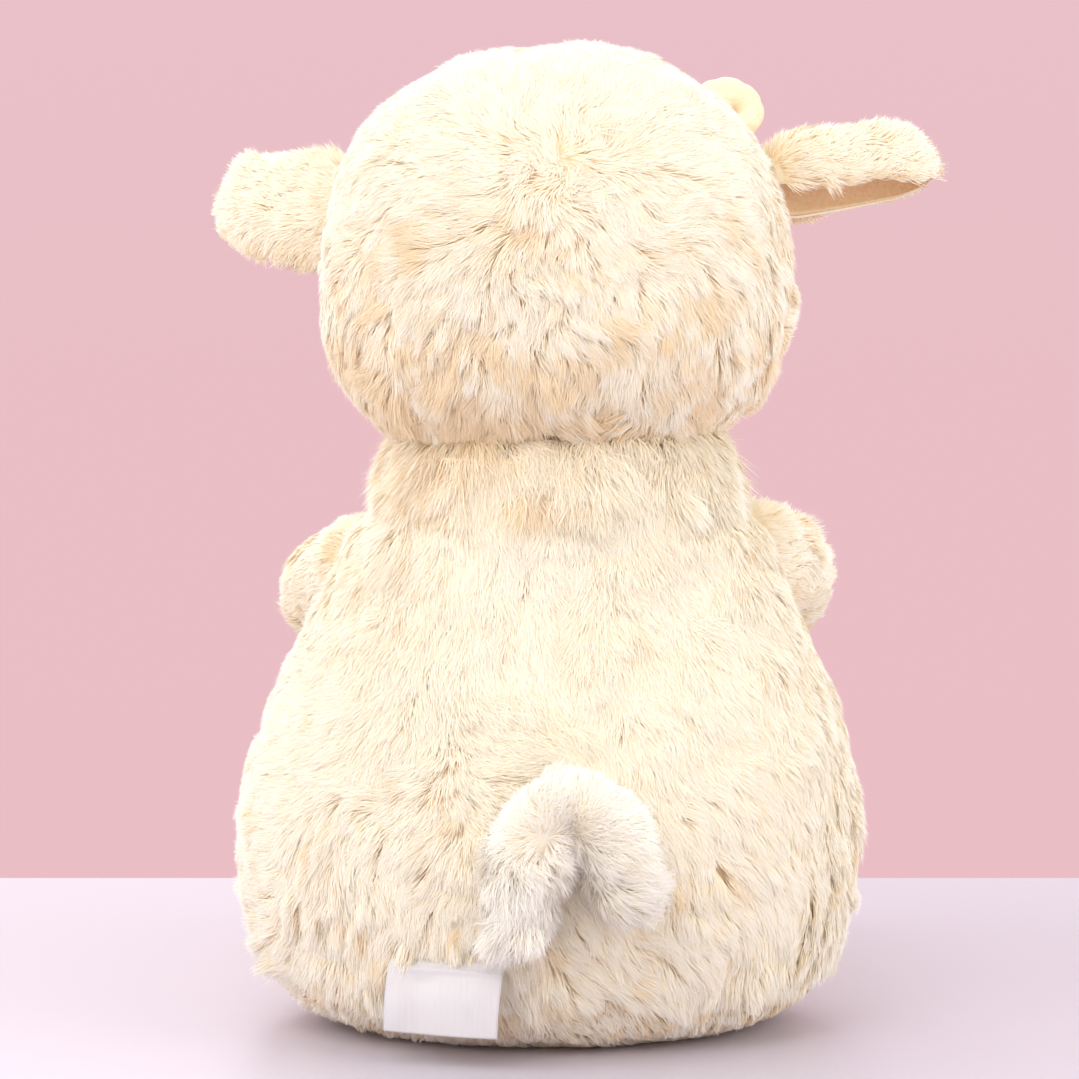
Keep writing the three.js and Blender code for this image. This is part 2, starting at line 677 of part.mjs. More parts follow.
// Horns
function hornGrid(side, depth) {
  const { point, normal } = hornPlace(side);
  const outward = normal.clone();
  const [sideways, backwards, upwards] = hornLeanShares;
  const back = vector(side * sideways, backwards, upwards);
  back.addScaledVector(outward, -back.dot(outward)).normalize();
  const spreadWay = outward.clone().cross(back).normalize().multiplyScalar(side);
  const base = point.clone().addScaledVector(outward, seamGap - hornFlat);
  const place = (t) => {
    const angle = Math.PI - t * hornTurn;
    const curl = hornCurl * (1 + (hornCurlShare - 1) * t);
    const centre = base.clone().addScaledVector(back, hornCurl + curl * Math.cos(angle));
    centre.addScaledVector(outward, hornStand + curl * Math.sin(angle));
    return centre.addScaledVector(spreadWay, hornSpread * t * t);
  };
  const rows = [tubeRing(base, outward, hornRoot - depth, hornSides, spreadWay)];
  for (let i = 0; i <= hornSteps; i++) {
    const t = i / hornSteps;
    const tangent = i === 0 ? outward : place(t + 0.01).sub(place(t - 0.01)).normalize();
    const radius = hornRoot + (hornTip - hornRoot) * t - depth;
    rows.push(tubeRing(place(t), tangent, radius, hornSides, spreadWay));
  }
  const end = place(1);
  const last = place(1.01).sub(place(0.99)).normalize();
  const tip = hornTip - depth;
  const shoulder = end.clone().addScaledVector(last, tip * hornTipShare);
  rows.push(tubeRing(shoulder, last, tip * hornTipShare, hornSides, spreadWay));
  rows.push(tubeRing(end.clone().addScaledVector(last, tip), last, 0, hornSides, spreadWay));
  return rows;
}

function addHorns() {
  for (const side of [toyLeft, toyRight]) {
    const name = sideNames.get(side);
    const clothDepth = smoothCloth * hornClothShare;
    addPiece(headGroup, `horn_cover_${name}`, shell(hornGrid(side, 0), hornGrid(side, clothDepth)), colours.horn);
    const filling = core(hornGrid(side, clothDepth + fillGap * hornClothShare));
    addPiece(headGroup, `horn_stuffing_${name}`, filling, colours.filling);
  }
}

// Thread ring under the head's edge
function addNeckThread() {
  const tilt = new THREE.Quaternion().setFromUnitVectors(
    vector(0, 0, 1),
    vector(headShift, 0, headHeight).sub(neckCentre).normalize(),
  );
  const orbit = neckBall + fillGap + neckThread;
  const ring = new THREE.TorusGeometry(orbit * Math.sin(neckThreadAngle), neckThread, 5, 30);
  ring.translate(0, 0, orbit * Math.cos(neckThreadAngle)).applyQuaternion(tilt);
  ring.translate(neckCentre.x, neckCentre.y, neckCentre.z);
  addPiece(sheep, 'neck_seam_thread', closedGeometry(trianglesOf(ring)), colours.thread);
}

// Tail
function tailSolid(depth) {
  const lobes = [toyLeft, toyRight].map((side) => {
    const lifts = tailLifts.get(side);
    const places = tailPlaces.map(([out, back, height], i) => (
      [tailShift + out * side, tailFace + back, height + lifts[i]]
    ));
    const grid = limbGrid(places, tailRadius, tailShares);
    return toSolid(core(depth === 0 ? grid : insetGrid(grid, depth)));
  });
  const joined = toGeometry(lobes[0].add(lobes[1]));
  return cut(joined, [beyond(forward, -tailFace - turningGap - depth)]);
}

function addTail() {
  const opening = new THREE.CylinderGeometry(tailOpening, tailOpening, tailRadius * 2, 12);
  opening.translate(tailShift, tailFace, tailPlaces[0][2]);
  addPiece(sheep, 'tail_cover', cut(tailSolid(0), [tailSolid(furCloth), opening]), colours.tailFur);
  addPiece(sheep, 'tail_stuffing', tailSolid(furCloth + fillGap), colours.filling);
}

// Care label, a folded strip that hangs from above the base seam
function addLabel() {
  const path = new THREE.QuadraticBezierCurve3(...labelPlaces.map((place) => vector(...place)));
  const sheet = (height) => Array.from({ length: labelSteps + 1 }, (_, i) => {
    const t = i / labelSteps;
    const across = vector(path.getPoint(0).y, -path.getPoint(0).x, 0).normalize();
    const normal = across.clone().cross(path.getTangent(t)).normalize();
    const middle = path.getPoint(t).addScaledVector(normal, height);
    return [-1, 1].map((edge) => middle.clone().addScaledVector(across, edge * labelHalfWidth));
  });
  addPiece(sheep, 'care_label', shell(sheet(0), sheet(labelThickness), false), colours.label);
}

addBody();
for (const side of [toyLeft, toyRight]) {
  addLimb('arm', armPlaces, armRoot, armShares, side, armOffset(side));
  addLimb('leg', legPlaces, legRoot, legShares, side, vector(0, 0, 0));
}
addHead();
addEyes();
addMuzzle();
addNoseAndMouth();
addEars();
addHorns();
addNeckThread();
addTail();
addLabel();

export default sheep;
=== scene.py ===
import math

import bmesh
import bpy
import numpy as np
from mathutils import Matrix, Vector
from mathutils.kdtree import KDTree


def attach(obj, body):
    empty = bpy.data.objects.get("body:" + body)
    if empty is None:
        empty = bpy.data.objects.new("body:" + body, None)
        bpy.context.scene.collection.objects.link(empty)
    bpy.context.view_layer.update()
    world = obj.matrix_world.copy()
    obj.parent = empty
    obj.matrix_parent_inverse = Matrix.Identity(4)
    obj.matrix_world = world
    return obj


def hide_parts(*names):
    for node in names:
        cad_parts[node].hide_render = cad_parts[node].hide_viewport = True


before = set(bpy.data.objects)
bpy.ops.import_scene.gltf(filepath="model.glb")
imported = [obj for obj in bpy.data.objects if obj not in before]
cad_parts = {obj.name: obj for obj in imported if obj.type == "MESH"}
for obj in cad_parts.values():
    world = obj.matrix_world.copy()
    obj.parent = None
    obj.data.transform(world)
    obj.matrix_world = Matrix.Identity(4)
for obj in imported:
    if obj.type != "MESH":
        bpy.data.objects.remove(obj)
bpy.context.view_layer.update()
print("frame loaded:", len(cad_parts), "nodes")

# Forms are worked out in millimetres, and written to meshes in metres
millimetre = 0.001
fullTurn = 2 * math.pi
toyLeft, toyRight = 1, -1
sideNames = {toyLeft: "Left", toyRight: "Right"}
up = np.array([0.0, 0.0, 1.0])
ahead = np.array([0.0, -1.0, 0.0])
leftward = np.array([1.0, 0.0, 0.0])


# Small tools for arrays of points

def unit(ways):
    return ways / np.maximum(np.linalg.norm(ways, axis=-1, keepdims=True), 1e-9)


def rise(values, low, high):
    # A smooth step from 0 at low to 1 at high
    t = np.clip((values - low) / (high - low), 0, 1)
    return t * t * (3 - 2 * t)


def bell(values, width, power=2):
    return np.exp(-(values / width) ** power)


def distanceFrom(points, place):
    return np.linalg.norm(points - place, axis=1)


def drift(points, scale, seed):
    # Smooth noise from a few waves, about -1 to 1
    waves = np.random.default_rng(seed)
    total = np.zeros(len(points))
    for _ in range(6):
        way = unit(waves.normal(size=3)) * fullTurn / (scale * waves.uniform(0.6, 1.7))
        total += np.sin(points @ way + waves.uniform(0, fullTurn))
    return total / 3


def drifts(points, *layers):
    return sum(strength * drift(points, scale, seed) for strength, scale, seed in layers)


def turnAbout(ways, axes, angles):
    c, s = np.cos(angles)[:, None], np.sin(angles)[:, None]
    along = np.sum(ways * axes, axis=1, keepdims=True)
    return ways * c + np.cross(axes, ways) * s + axes * along * (1 - c)


def blendWays(first, second, share):
    return first * (1 - share)[:, None] + second * share[:, None]


def roundAngles(count):
    return np.arange(count) / count * fullTurn


def ringRound(centre, tangent, sideways, radius, angles):
    # A ring of points square to a tube's run; its radius may change round it
    across = unit(sideways - tangent * (sideways @ tangent))
    upright = np.cross(tangent, across)
    rim = across * np.cos(angles)[:, None] + upright * np.sin(angles)[:, None]
    return centre + rim * np.reshape(radius, (-1, 1))


def smoothTable(table, steps):
    # A smooth curve through the rows of a table
    table = np.array(table, float)
    padded = np.vstack([2 * table[0] - table[1], table, 2 * table[-1] - table[-2]])
    rows = []
    for i in range(len(table) - 1):
        a, b, c, d = padded[i:i + 4]
        for t in np.linspace(0, 1, steps, endpoint=False):
            rows.append(0.5 * (2 * b + (c - a) * t + (2 * a - 5 * b + 4 * c - d) * t * t
                               + (3 * b - a - 3 * c + d) * t ** 3))
    rows.append(table[-1])
    return np.array(rows)


def curvePoint(places, t):
    a, b, c = (np.array(place, float) for place in places)
    return a * (1 - t) ** 2 + b * 2 * t * (1 - t) + c * t * t


def curveWay(places, t):
    a, b, c = (np.array(place, float) for place in places)
    return unit((b - a) * (1 - t) + (c - b) * t)


def nearest(points, places):
    # For each point, which of the places lies nearest
    tree = KDTree(len(places))
    for i, place in enumerate(places):
        tree.insert(place, i)
    tree.balance()
    return np.fromiter((tree.find(point)[1] for point in points), int, len(points))


# Meshes from arrays

def meshObject(name, points, triangles, uvs=None, normals=None):
    mesh = bpy.data.meshes.new(name)
    count = len(triangles)
    mesh.vertices.add(len(points))
    mesh.vertices.foreach_set("co", (np.asarray(points) * millimetre).astype(np.float32).ravel())
    mesh.loops.add(count * 3)
    mesh.loops.foreach_set("vertex_index", np.asarray(triangles, np.int32).ravel())
    mesh.polygons.add(count)
    mesh.polygons.foreach_set("loop_start", np.arange(0, count * 3, 3, dtype=np.int32))
    mesh.update(calc_edges=True)
    mesh.polygons.foreach_set("use_smooth", np.ones(count, bool))
    if uvs is not None:
        layer = mesh.uv_layers.new(name="OFBake")
        layer.data.foreach_set("uv", np.asarray(uvs, np.float32)[np.asarray(triangles).ravel()].ravel())
    if normals is not None:
        mesh.normals_split_custom_set_from_vertices(normals)
    made = bpy.data.objects.new(name, mesh)
    bpy.context.scene.collection.objects.link(made)
    return made


def workOn(made, *steps):
    # Each step changes the mesh in turn
    work = bmesh.new()
    work.from_mesh(made.data)
    for step in steps:
        step(work)
    work.to_mesh(made.data)
    work.free()
    return made


def mergePoles(work):
    bmesh.ops.remove_doubles(work, verts=work.verts, dist=1e-5)
    bmesh.ops.dissolve_degenerate(work, edges=work.edges, dist=1e-6)


def fillHoles(work):
    bmesh.ops.holes_fill(work, edges=[edge for edge in work.edges if edge.is_boundary])
    bmesh.ops.triangulate(work, faces=[face for face in work.faces if len(face.verts) > 3])


def facesOut(work):
    bmesh.ops.recalc_face_normals(work, faces=work.faces)
    if work.calc_volume(signed=True) < 0:
        bmesh.ops.reverse_faces(work, faces=work.faces)
    for face in work.faces:
        face.smooth = True


def gridTriangles(rows, columns, closed=True):
    span = columns if closed else columns - 1
    r, c = np.meshgrid(np.arange(rows - 1), np.arange(span), indexing="ij")
    r, c = r.ravel(), c.ravel()
    n = (c + 1) % columns
    a, b, d, e = r * columns + c, r * columns + n, (r + 1) * columns + c, (r + 1) * columns + n
    return np.concatenate([np.stack([a, b, e], 1), np.stack([a, e, d], 1)])


def gridObject(name, grid, capEnds=False):
    # A closed form from rows of points round it
    made = meshObject(name, grid.reshape(-1, 3), gridTriangles(*grid.shape[:2]))
    if capEnds:
        return workOn(made, mergePoles, fillHoles, facesOut)
    return workOn(made, mergePoles, facesOut)


def shellObject(name, outer, inner):
    # Two open sheets joined round their rims
    rows, columns = outer.shape[:2]
    count = rows * columns
    sheet = gridTriangles(rows, columns, False)
    rim = [r * columns for r in range(rows)] + [(rows - 1) * columns + c for c in range(1, columns)]
    rim += [r * columns + columns - 1 for r in range(rows - 2, -1, -1)] + list(range(columns - 2, 0, -1))
    rim = np.array(rim)
    after = np.roll(rim, -1)
    faces = np.concatenate([sheet, sheet[:, ::-1] + count, np.stack([rim, after, after + count], 1),
                            np.stack([rim, after + count, rim + count], 1)])
    made = meshObject(name, np.concatenate([outer.reshape(-1, 3), inner.reshape(-1, 3)]), faces)
    return workOn(made, facesOut)


def meshArrays(made):
    # Points, normals and triangles of a mesh, in millimetres
    mesh = made.data
    mesh.calc_loop_triangles()
    points = np.zeros(len(mesh.vertices) * 3)
    normals = np.zeros(len(mesh.vertices) * 3)
    triangles = np.zeros(len(mesh.loop_triangles) * 3, np.int32)
    mesh.vertices.foreach_get("co", points)
    mesh.vertices.foreach_get("normal", normals)
    mesh.loop_triangles.foreach_get("vertices", triangles)
    return points.reshape(-1, 3) / millimetre, normals.reshape(-1, 3), triangles.reshape(-1, 3)


def setPoints(made, points):
    made.data.vertices.foreach_set("co", (points * millimetre).astype(np.float32).ravel())
    made.data.update()
    return made


def inset(made, depth):
    points, normals, _ = meshArrays(made)
    depth = depth(points) if callable(depth) else np.full(len(points), depth)
    return setPoints(made, points - normals * depth[:, None])


def copyOf(made, name):
    twin = made.copy()
    twin.data = made.data.copy()
    twin.name = twin.data.name = name
    bpy.context.scene.collection.objects.link(twin)
    return twin


def panelOf(made, name, *planes):
    # The part of a skin that lies behind each plane
    def cut(work):
        for place, normal in planes:
            bmesh.ops.bisect_plane(
                work, geom=work.verts[:] + work.edges[:] + work.faces[:],
                plane_co=Vector(place) * millimetre, plane_no=Vector(normal), clear_outer=True)
        bmesh.ops.triangulate(work, faces=work.faces)

    return workOn(copyOf(made, name), cut)


def discard(*objects):
    for thing in objects:
        mesh = thing.data
        bpy.data.objects.remove(thing)
        bpy.data.meshes.remove(mesh)


def dent(points, normals, centre, radius):
    # Points inside a ball go inward along their normals until they lie on it
    offset = points - centre
    inside = np.sum(offset ** 2, axis=1) < radius ** 2
    along = np.sum(offset * normals, axis=1)
    step = along + np.sqrt(np.maximum(along ** 2 - np.sum(offset ** 2, axis=1) + radius ** 2, 0))
    return np.where(inside[:, None], points - normals * step[:, None], points)


def selectOnly(thing):
    bpy.ops.object.select_all(action="DESELECT")
    thing.select_set(True)
    bpy.context.view_layer.objects.active = thing


# Materials

def newMaterial(name, values):
    material = bpy.data.materials.new(name)
    material.use_nodes = True
    tree = material.node_tree
    return material, tree, feed(tree, tree.nodes["Principled BSDF"], values)


def feed(tree, node, inputs):
    # An input is a plain value, or a socket to link from
    for label, value in inputs.items():
        if hasattr(value, "links"):
            tree.links.new(value, node.inputs[label])
        else:
            node.inputs[label].default_value = value
    return node


def addNode(tree, kind, inputs, **settings):
    node = tree.nodes.new("ShaderNode" + kind)
    for name, value in settings.items():
        setattr(node, name, value)
    return feed(tree, node, inputs)


def texture(tree, kind, **inputs):
    place = addNode(tree, "TexCoord", {})
    return addNode(tree, kind, {"Vector": place.outputs["Object"], **inputs}).outputs["Fac"]


def mixColours(tree, factor, first, second):
    inputs = {"Factor": factor, "A": first, "B": second}
    return addNode(tree, "Mix", inputs, data_type="RGBA").outputs["Result"]


def rangeOf(tree, value, low, high, newLow, newHigh):
    inputs = {"Value": value, "From Min": low, "From Max": high, "To Min": newLow, "To Max": newHigh}
    return addNode(tree, "MapRange", inputs, interpolation_type="SMOOTHSTEP").outputs["Result"]


def bumpOf(tree, height, distance):
    return addNode(tree, "Bump", {"Distance": distance, "Height": height}).outputs["Normal"]


def nodeGroup(name, inputs, outputs):
    # Inputs are given with their first values; the output Color is a colour, the others are numbers
    group = bpy.data.node_groups.new(name, "ShaderNodeTree")
    for label, value in inputs.items():
        kind = "NodeSocketColor" if isinstance(value, tuple) else "NodeSocketFloat"
        group.interface.new_socket(label, in_out="INPUT", socket_type=kind).default_value = value
    for label in outputs:
        kind = "NodeSocketColor" if label == "Color" else "NodeSocketFloat"
        group.interface.new_socket(label, in_out="OUTPUT", socket_type=kind)
    return group, group.nodes.new("NodeGroupInput").outputs, group.nodes.new("NodeGroupOutput")


def buildPileTone():
    # Colour along one hair: dark at the root, pale at the tip, with its own tone. The darker, warmer root is
    # painted shade deep between the hairs, and the Warm colour is both the hair's own warmer tone and painted
    # shade
    group, source, sink = nodeGroup(
        "pileTone",
        {"Along": 0.5, "Tone": 0.5, "Root": (0.6, 0.4, 0.2, 1), "Middle": (0.9, 0.7, 0.5, 1),
         "Tip": (1, 0.9, 0.8, 1), "Warm": (0.9, 0.7, 0.45, 1)},
        ("Color", "Roughness"))
    along = source["Along"]
    body = mixColours(group, rangeOf(group, along, 0.0, 0.42, 0, 1), source["Root"], source["Middle"])
    body = mixColours(group, rangeOf(group, along, 0.35, 1.0, 0, 1), body, source["Tip"])
    body = mixColours(group, rangeOf(group, source["Tone"], 0.5, 0.0, 0, 0.8), body, source["Warm"])
    feed(group, sink, {"Color": body, "Roughness": rangeOf(group, along, 0, 1, 0.95, 0.72)})
    return group


def buildNapGrain():
    # Short nap of smooth plush: fine specks, soft brushed patches and their height
    group, source, sink = nodeGroup(
        "napGrain",
        {"Cloth": (0.8, 0.6, 0.4, 1), "Shade": (0.6, 0.4, 0.2, 1), "Fineness": 900, "Patches": 60},
        ("Color", "Roughness", "Height"))
    specks = texture(group, "TexNoise", Detail=3, Scale=source["Fineness"])
    patches = texture(group, "TexNoise", Detail=4, Scale=source["Patches"])
    body = mixColours(group, rangeOf(group, specks, 0.62, 0.34, 0, 0.5), source["Cloth"], source["Shade"])
    body = mixColours(group, rangeOf(group, patches, 0.6, 0.35, 0, 0.3), body, source["Shade"])
    roughness = rangeOf(group, specks, 0.3, 0.7, 0.98, 0.8)
    feed(group, sink, {"Color": body, "Roughness": roughness, "Height": specks})
    return group


pileTone = buildPileTone()
napGrain = buildNapGrain()


def pileMaterial(name, root, middle, tip, warmToneAndShade):
    material, tree, shader = newMaterial(
        name, {"Sheen Weight": 0.2, "Sheen Roughness": 0.6, "Specular IOR Level": 0.25})
    uv = addNode(tree, "UVMap", {}, uv_map="OFBake")
    hair = addNode(tree, "SeparateXYZ", {"Vector": uv.outputs["UV"]}).outputs
    inputs = {"Tone": hair["X"], "Along": hair["Y"],
              "Root": (*root, 1), "Middle": (*middle, 1), "Tip": (*tip, 1), "Warm": (*warmToneAndShade, 1)}
    tone = addNode(tree, "Group", inputs, node_tree=pileTone).outputs
    feed(tree, shader, {"Base Color": tone["Color"], "Roughness": tone["Roughness"]})
    return material


def napMaterial(name, cloth, shade, fineness=900, patches=60, bump=0.0003):
    material, tree, shader = newMaterial(
        name, {"Sheen Weight": 0.35, "Sheen Roughness": 0.5, "Specular IOR Level": 0.2})
    inputs = {"Cloth": (*cloth, 1), "Shade": (*shade, 1), "Fineness": fineness, "Patches": patches}
    grain = addNode(tree, "Group", inputs, node_tree=napGrain).outputs
    feed(tree, shader, {"Normal": bumpOf(tree, grain["Height"], bump),
                        "Base Color": grain["Color"], "Roughness": grain["Roughness"]})
    return material


def threadMaterial(name, dark, pale):
    material, tree, shader = newMaterial(name, {"Sheen Weight": 0.2, "Specular IOR Level": 0.4})
    twist = texture(tree, "TexWave", Scale=700, Distortion=2)
    feed(tree, shader, {"Base Color": mixColours(tree, twist, (*dark, 1), (*pale, 1)),
                        "Roughness": rangeOf(tree, twist, 0, 1, 0.65, 0.45)})
    return material


def eyeMaterial():
    material, tree, shader = newMaterial(
        "eyeGloss", {"Roughness": 0.08, "Coat Weight": 0.6, "Coat Roughness": 0.04, "IOR": 1.5})
    specks = texture(tree, "TexNoise", Scale=350)
    shade = rangeOf(tree, specks, 0.35, 0.7, 0, 1)
    colour = mixColours(tree, shade, (0.012, 0.008, 0.006, 1), (0.022, 0.014, 0.01, 1))
    feed(tree, shader, {"Base Color": colour, "Roughness": rangeOf(tree, specks, 0.3, 0.8, 0.06, 0.14)})
    return material


def labelMaterial():
    material, tree, shader = newMaterial(
        "labelSatin", {"Sheen Weight": 0.15, "Specular IOR Level": 0.5, "Anisotropic": 0.3})
    weave = texture(tree, "TexWave", Scale=900, Distortion=0.6)
    cloud = texture(tree, "TexNoise", Scale=80)
    colour = mixColours(tree, weave, (0.78, 0.75, 0.77, 1), (0.84, 0.81, 0.83, 1))
    colour = mixColours(tree, rangeOf(tree, cloud, 0.4, 0.7, 0, 0.35), colour, (0.76, 0.7, 0.71, 1))
    feed(tree, shader, {"Base Color": colour, "Roughness": rangeOf(tree, weave, 0, 1, 0.5, 0.34),
                        "Normal": bumpOf(tree, weave, 0.0001)})
    return material


# The look of each finish
looks = {
    # The darker root and warm colours of both piles are partly painted shade between the hairs
    "fur_cloth": pileMaterial(
        "creamPile", (0.99, 0.8, 0.49), (0.99, 0.895, 0.7), (0.99, 0.962, 0.885), (0.94, 0.77, 0.5)),
    "tail_fur": pileMaterial(
        "whitePile", (0.985, 0.89, 0.7), (0.985, 0.945, 0.85), (0.99, 0.975, 0.94), (0.985, 0.92, 0.8)),
    "smooth_cloth": napMaterial("smoothPlush", (0.83, 0.63, 0.40), (0.68, 0.46, 0.26)),
    "horn_cloth": napMaterial("hornPlush", (0.96, 0.84, 0.62), (0.87, 0.68, 0.43)),
    "fibre_filling": napMaterial("fibreFilling", (0.9, 0.9, 0.88), (0.75, 0.75, 0.73), 400, 90, 0.001),
    "pellets": napMaterial("pelletBag", (0.82, 0.8, 0.75), (0.6, 0.58, 0.54), 500, 200, 0.001),
    "thread": threadMaterial("threadTwist", (0.3, 0.15, 0.07), (0.42, 0.23, 0.12)),
    "eye_plastic": eyeMaterial(),
    "label_satin": labelMaterial(),
}
# The lining's tan is its own colour, made darker still to stand for the shade inside the ear: partly painted
# shade
liningLook = napMaterial("earLiningPlush", (0.88, 0.66, 0.41), (0.76, 0.52, 0.29))
neckThreadLook = threadMaterial("neckThreadTwist", (0.9, 0.72, 0.47), (0.97, 0.84, 0.62))
print("materials ready")


# Pile: every hair is a tapered ribbon that leans the way the cloth was brushed

hair = {
    "quickShare": 0.35, "quickWidth": 1.6, "roll": 0.4, "softness": 0.35, "rootDepth": 0.3, "floorGap": 0.4,
    "lengths": (0.62, 1.18), "heights": (0.7, 1.2), "widths": (0.7, 1.3), "followTurn": 0.6,
    "alongPull": 0.65, "pullLimit": 0.85, "reachLimit": 5.0, "tone": 0.55, "toneLimits": (0.02, 0.98),
    "alongs": (0.02, 0.5, 0.5, 0.98), "skinUv": (0.5, 0.3),
}


def scatterRoots(skin, settings, thinning, chance, keep):
    # Even, random places on the skin, with the way each faces
    points, normals, triangles = meshArrays(skin)
    a, b, c = (points[triangles[:, k]] for k in range(3))
    areas = np.linalg.norm(np.cross(b - a, c - a), axis=1) / 2
    count = int(areas.sum() / 100 * settings["density"] * thinning)
    count = min(count, int(settings["most"] * thinning))
    chosen = chance.choice(len(triangles), count, p=areas / areas.sum())
    share = chance.random((count, 2))
    flip = share.sum(1) > 1
    share[flip] = 1 - share[flip]
    weights = np.stack([1 - share.sum(1), share[:, 0], share[:, 1]], 1)[:, :, None]
    roots = (np.stack([a, b, c], 1)[chosen] * weights).sum(1)
    facing = unit((np.stack([normals[triangles[:, k]] for k in range(3)], 1)[chosen] * weights).sum(1))
    if keep is not None:
        kept = keep(roots, facing)
        roots, facing = roots[kept], facing[kept]
    return roots, facing


def growPile(name, skin, settings, flow, keep=None):
    chance = np.random.default_rng(settings["seed"])
    thinning = 1.0
    roots, facing = scatterRoots(skin, settings, thinning, chance, keep)
    count = len(roots)

    # Each hair belongs to a tuft and a lock, and leans towards their ends
    way, lift, size, warmToneAndShade, clump = flow(roots, facing)
    way = unit(way - facing * np.sum(way * facing, axis=1, keepdims=True))
    ends = []
    tones = np.zeros(count)
    lengths = settings["length"] * size
    for gap, spread, turn, pull in settings["tufts"]:
        members = max(4, int(count / (settings["density"] * thinning) * 100 / gap ** 2))
        heads = chance.choice(count, min(members, count), replace=False)
        owner = nearest(roots, roots[heads])
        turns = chance.normal(0, turn, len(heads))
        longer = 1 + chance.normal(0, spread, len(heads))
        lifts = 1 + chance.normal(0, spread * 1.6, len(heads))
        tones += chance.normal(0, 0.07, len(heads))[owner]
        headWay = turnAbout(way[heads], facing[heads], turns)
        reach = lengths[heads] * longer
        top = roots[heads] + headWay * (reach * settings["lean"])[:, None]
        rises = settings["height"] * lift[heads] * lifts - reach ** 2 / (2 * settings["wrap"])
        top += facing[heads] * rises[:, None]
        ends.append((top[owner], pull))
        way = unit(turnAbout(way, facing, turns[owner] * hair["followTurn"]))
        lengths = lengths * (0.5 + 0.5 * longer[owner])
        lift = lift * np.clip(0.5 + 0.5 * lifts[owner], 0.3, 2)
    way = turnAbout(way, facing, chance.normal(0, settings["stray"], count))
    lengths = lengths * chance.uniform(*hair["lengths"], count)
    height = settings["height"] * lift * chance.uniform(*hair["heights"], count)
    tip = roots + way * (lengths * settings["lean"])[:, None] + facing * height[:, None]
    tip -= facing * (lengths ** 2 / (2 * settings["wrap"]))[:, None]
    for top, pull in ends:
        # The pull gathers hair ends without making any hair much longer
        drawn = top - tip
        drawn -= way * (hair["alongPull"] * np.sum(drawn * way, axis=1, keepdims=True))
        drawn *= np.clip(pull * clump, 0, hair["pullLimit"])[:, None]
        reach = np.linalg.norm(drawn, axis=1, keepdims=True)
        tip = tip + drawn * np.minimum(1, hair["reachLimit"] / np.maximum(reach, 1e-6))

    # A hair is a bent lance: a point at its root, its full width midway, and a point at its tip
    tangent = unit(tip - roots)
    sideways = unit(np.cross(tangent, facing))
    arch = settings["bow"] * lengths
    middle = roots + (tip - roots) * 0.5 + facing * arch[:, None]
    middle = middle + sideways * chance.normal(0, settings["curl"], count)[:, None]
    across = turnAbout(sideways, tangent, chance.normal(0, hair["roll"], count))
    widening = 1.0
    half = across * (settings["width"] * chance.uniform(*hair["widths"], count) * widening / 2)[:, None]
    hairs = np.stack([roots - facing * hair["rootDepth"], middle - half, middle + half, tip], 1)
    hairs[:, :, 2] = np.maximum(hairs[:, :, 2], hair["floorGap"])

    # The pile is lit mostly as the soft surface it covers
    shading = unit(np.cross(across, tangent) * (1 - hair["softness"]) + facing * hair["softness"])
    faces = (np.array([[0, 2, 1], [1, 2, 3]])[None] + np.arange(count)[:, None, None] * 4).reshape(-1, 3)
    # A hair's tone falls with its warm share, which holds painted shade as well as its own random tone
    tone = hair["tone"] + tones * (0.5 + 0.9 * clump) + chance.normal(0, 0.1, count) - 0.5 * warmToneAndShade
    tone = np.clip(tone, *hair["toneLimits"])
    uvs = np.stack([np.repeat(tone, 4), np.tile(np.array(hair["alongs"]), count)], 1)
    points, normals, triangles = meshArrays(skin)
    made = meshObject(
        name, np.concatenate([points, hairs.reshape(-1, 3)]),
        np.concatenate([triangles, faces + len(points)]),
        np.concatenate([np.full((len(points), 2), hair["skinUv"]), uvs]),
        np.concatenate([normals, np.repeat(shading, 4, 0)]))
    discard(skin)
    print(name, "hairs", count, "triangles", len(triangles) + len(faces))
    return made


# Every piece has the body that carries it, its finish and the node it stands for

def fitted(made, bodyName, slotName, node, look=None):
    made.data.materials.append(look or looks[slotName])
    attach(made, bodyName)
    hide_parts(node)
    return made


def stuffed(made, bodyName, slotName, node, look=None):
    fitted(made, bodyName, slotName, node, look)


# Body

body = {
    "halfWidth": 92.5, "halfDepth": 80, "rise": 203, "baseFlat": 0.5, "backFlat": 78.8,
    "neckBall": 56, "neckHeight": 146, "neckShift": -3, "leanStart": 0.2, "neckRows": 4, "neckShare": 1.38,
    "rows": [
        (0, 0, 0, 0), (0.002, 0.56, 0.58, 0.6), (0.013, 0.68, 0.7, 0.72), (0.042, 0.83, 0.84, 0.86),
        (0.098, 0.915, 0.92, 0.95), (0.17, 0.975, 0.98, 1.01), (0.26, 1, 1, 1.03),
        (0.355, 0.985, 0.98, 1), (0.455, 0.93, 0.92, 0.93), (0.55, 0.845, 0.84, 0.83),
        (0.64, 0.75, 0.765, 0.745), (0.73, 0.665, 0.71, 0.69)],
    "columns": 96, "steps": 5, "pileDepth": 1.8, "bareDepth": 1.0, "baseSeam": 21,
    "fillingDepth": 8.0, "pelletTop": 20, "neckEdge": 184, "collarBall": 57,
    "fanCentre": (33, 78, 79), "partingSide": -5, "labelSide": 30,
    "swirls": ((0.4, 60, 3), (0.3, 22, 4)),
    "pile": {"length": 11, "wrap": 100, "height": 2.9, "lean": 0.9, "bow": 0.07, "curl": 0.5, "stray": 0.26,
             "most": 170000, "tufts": ((9.0, 0.14, 0.24, 0.14), (3.8, 0.14, 0.26, 0.3))},
    # Node, density, hair width and seed of each panel
    "panels": {
        "bodyBackLeft": ("body_back_left", 800, 0.3, 11), "bodyBackRight": ("body_back_right", 800, 0.3, 12),
        "bodyBelly": ("body_belly", 260, 0.5, 13), "basePanel": ("base_panel", 260, 0.5, 14)},
}
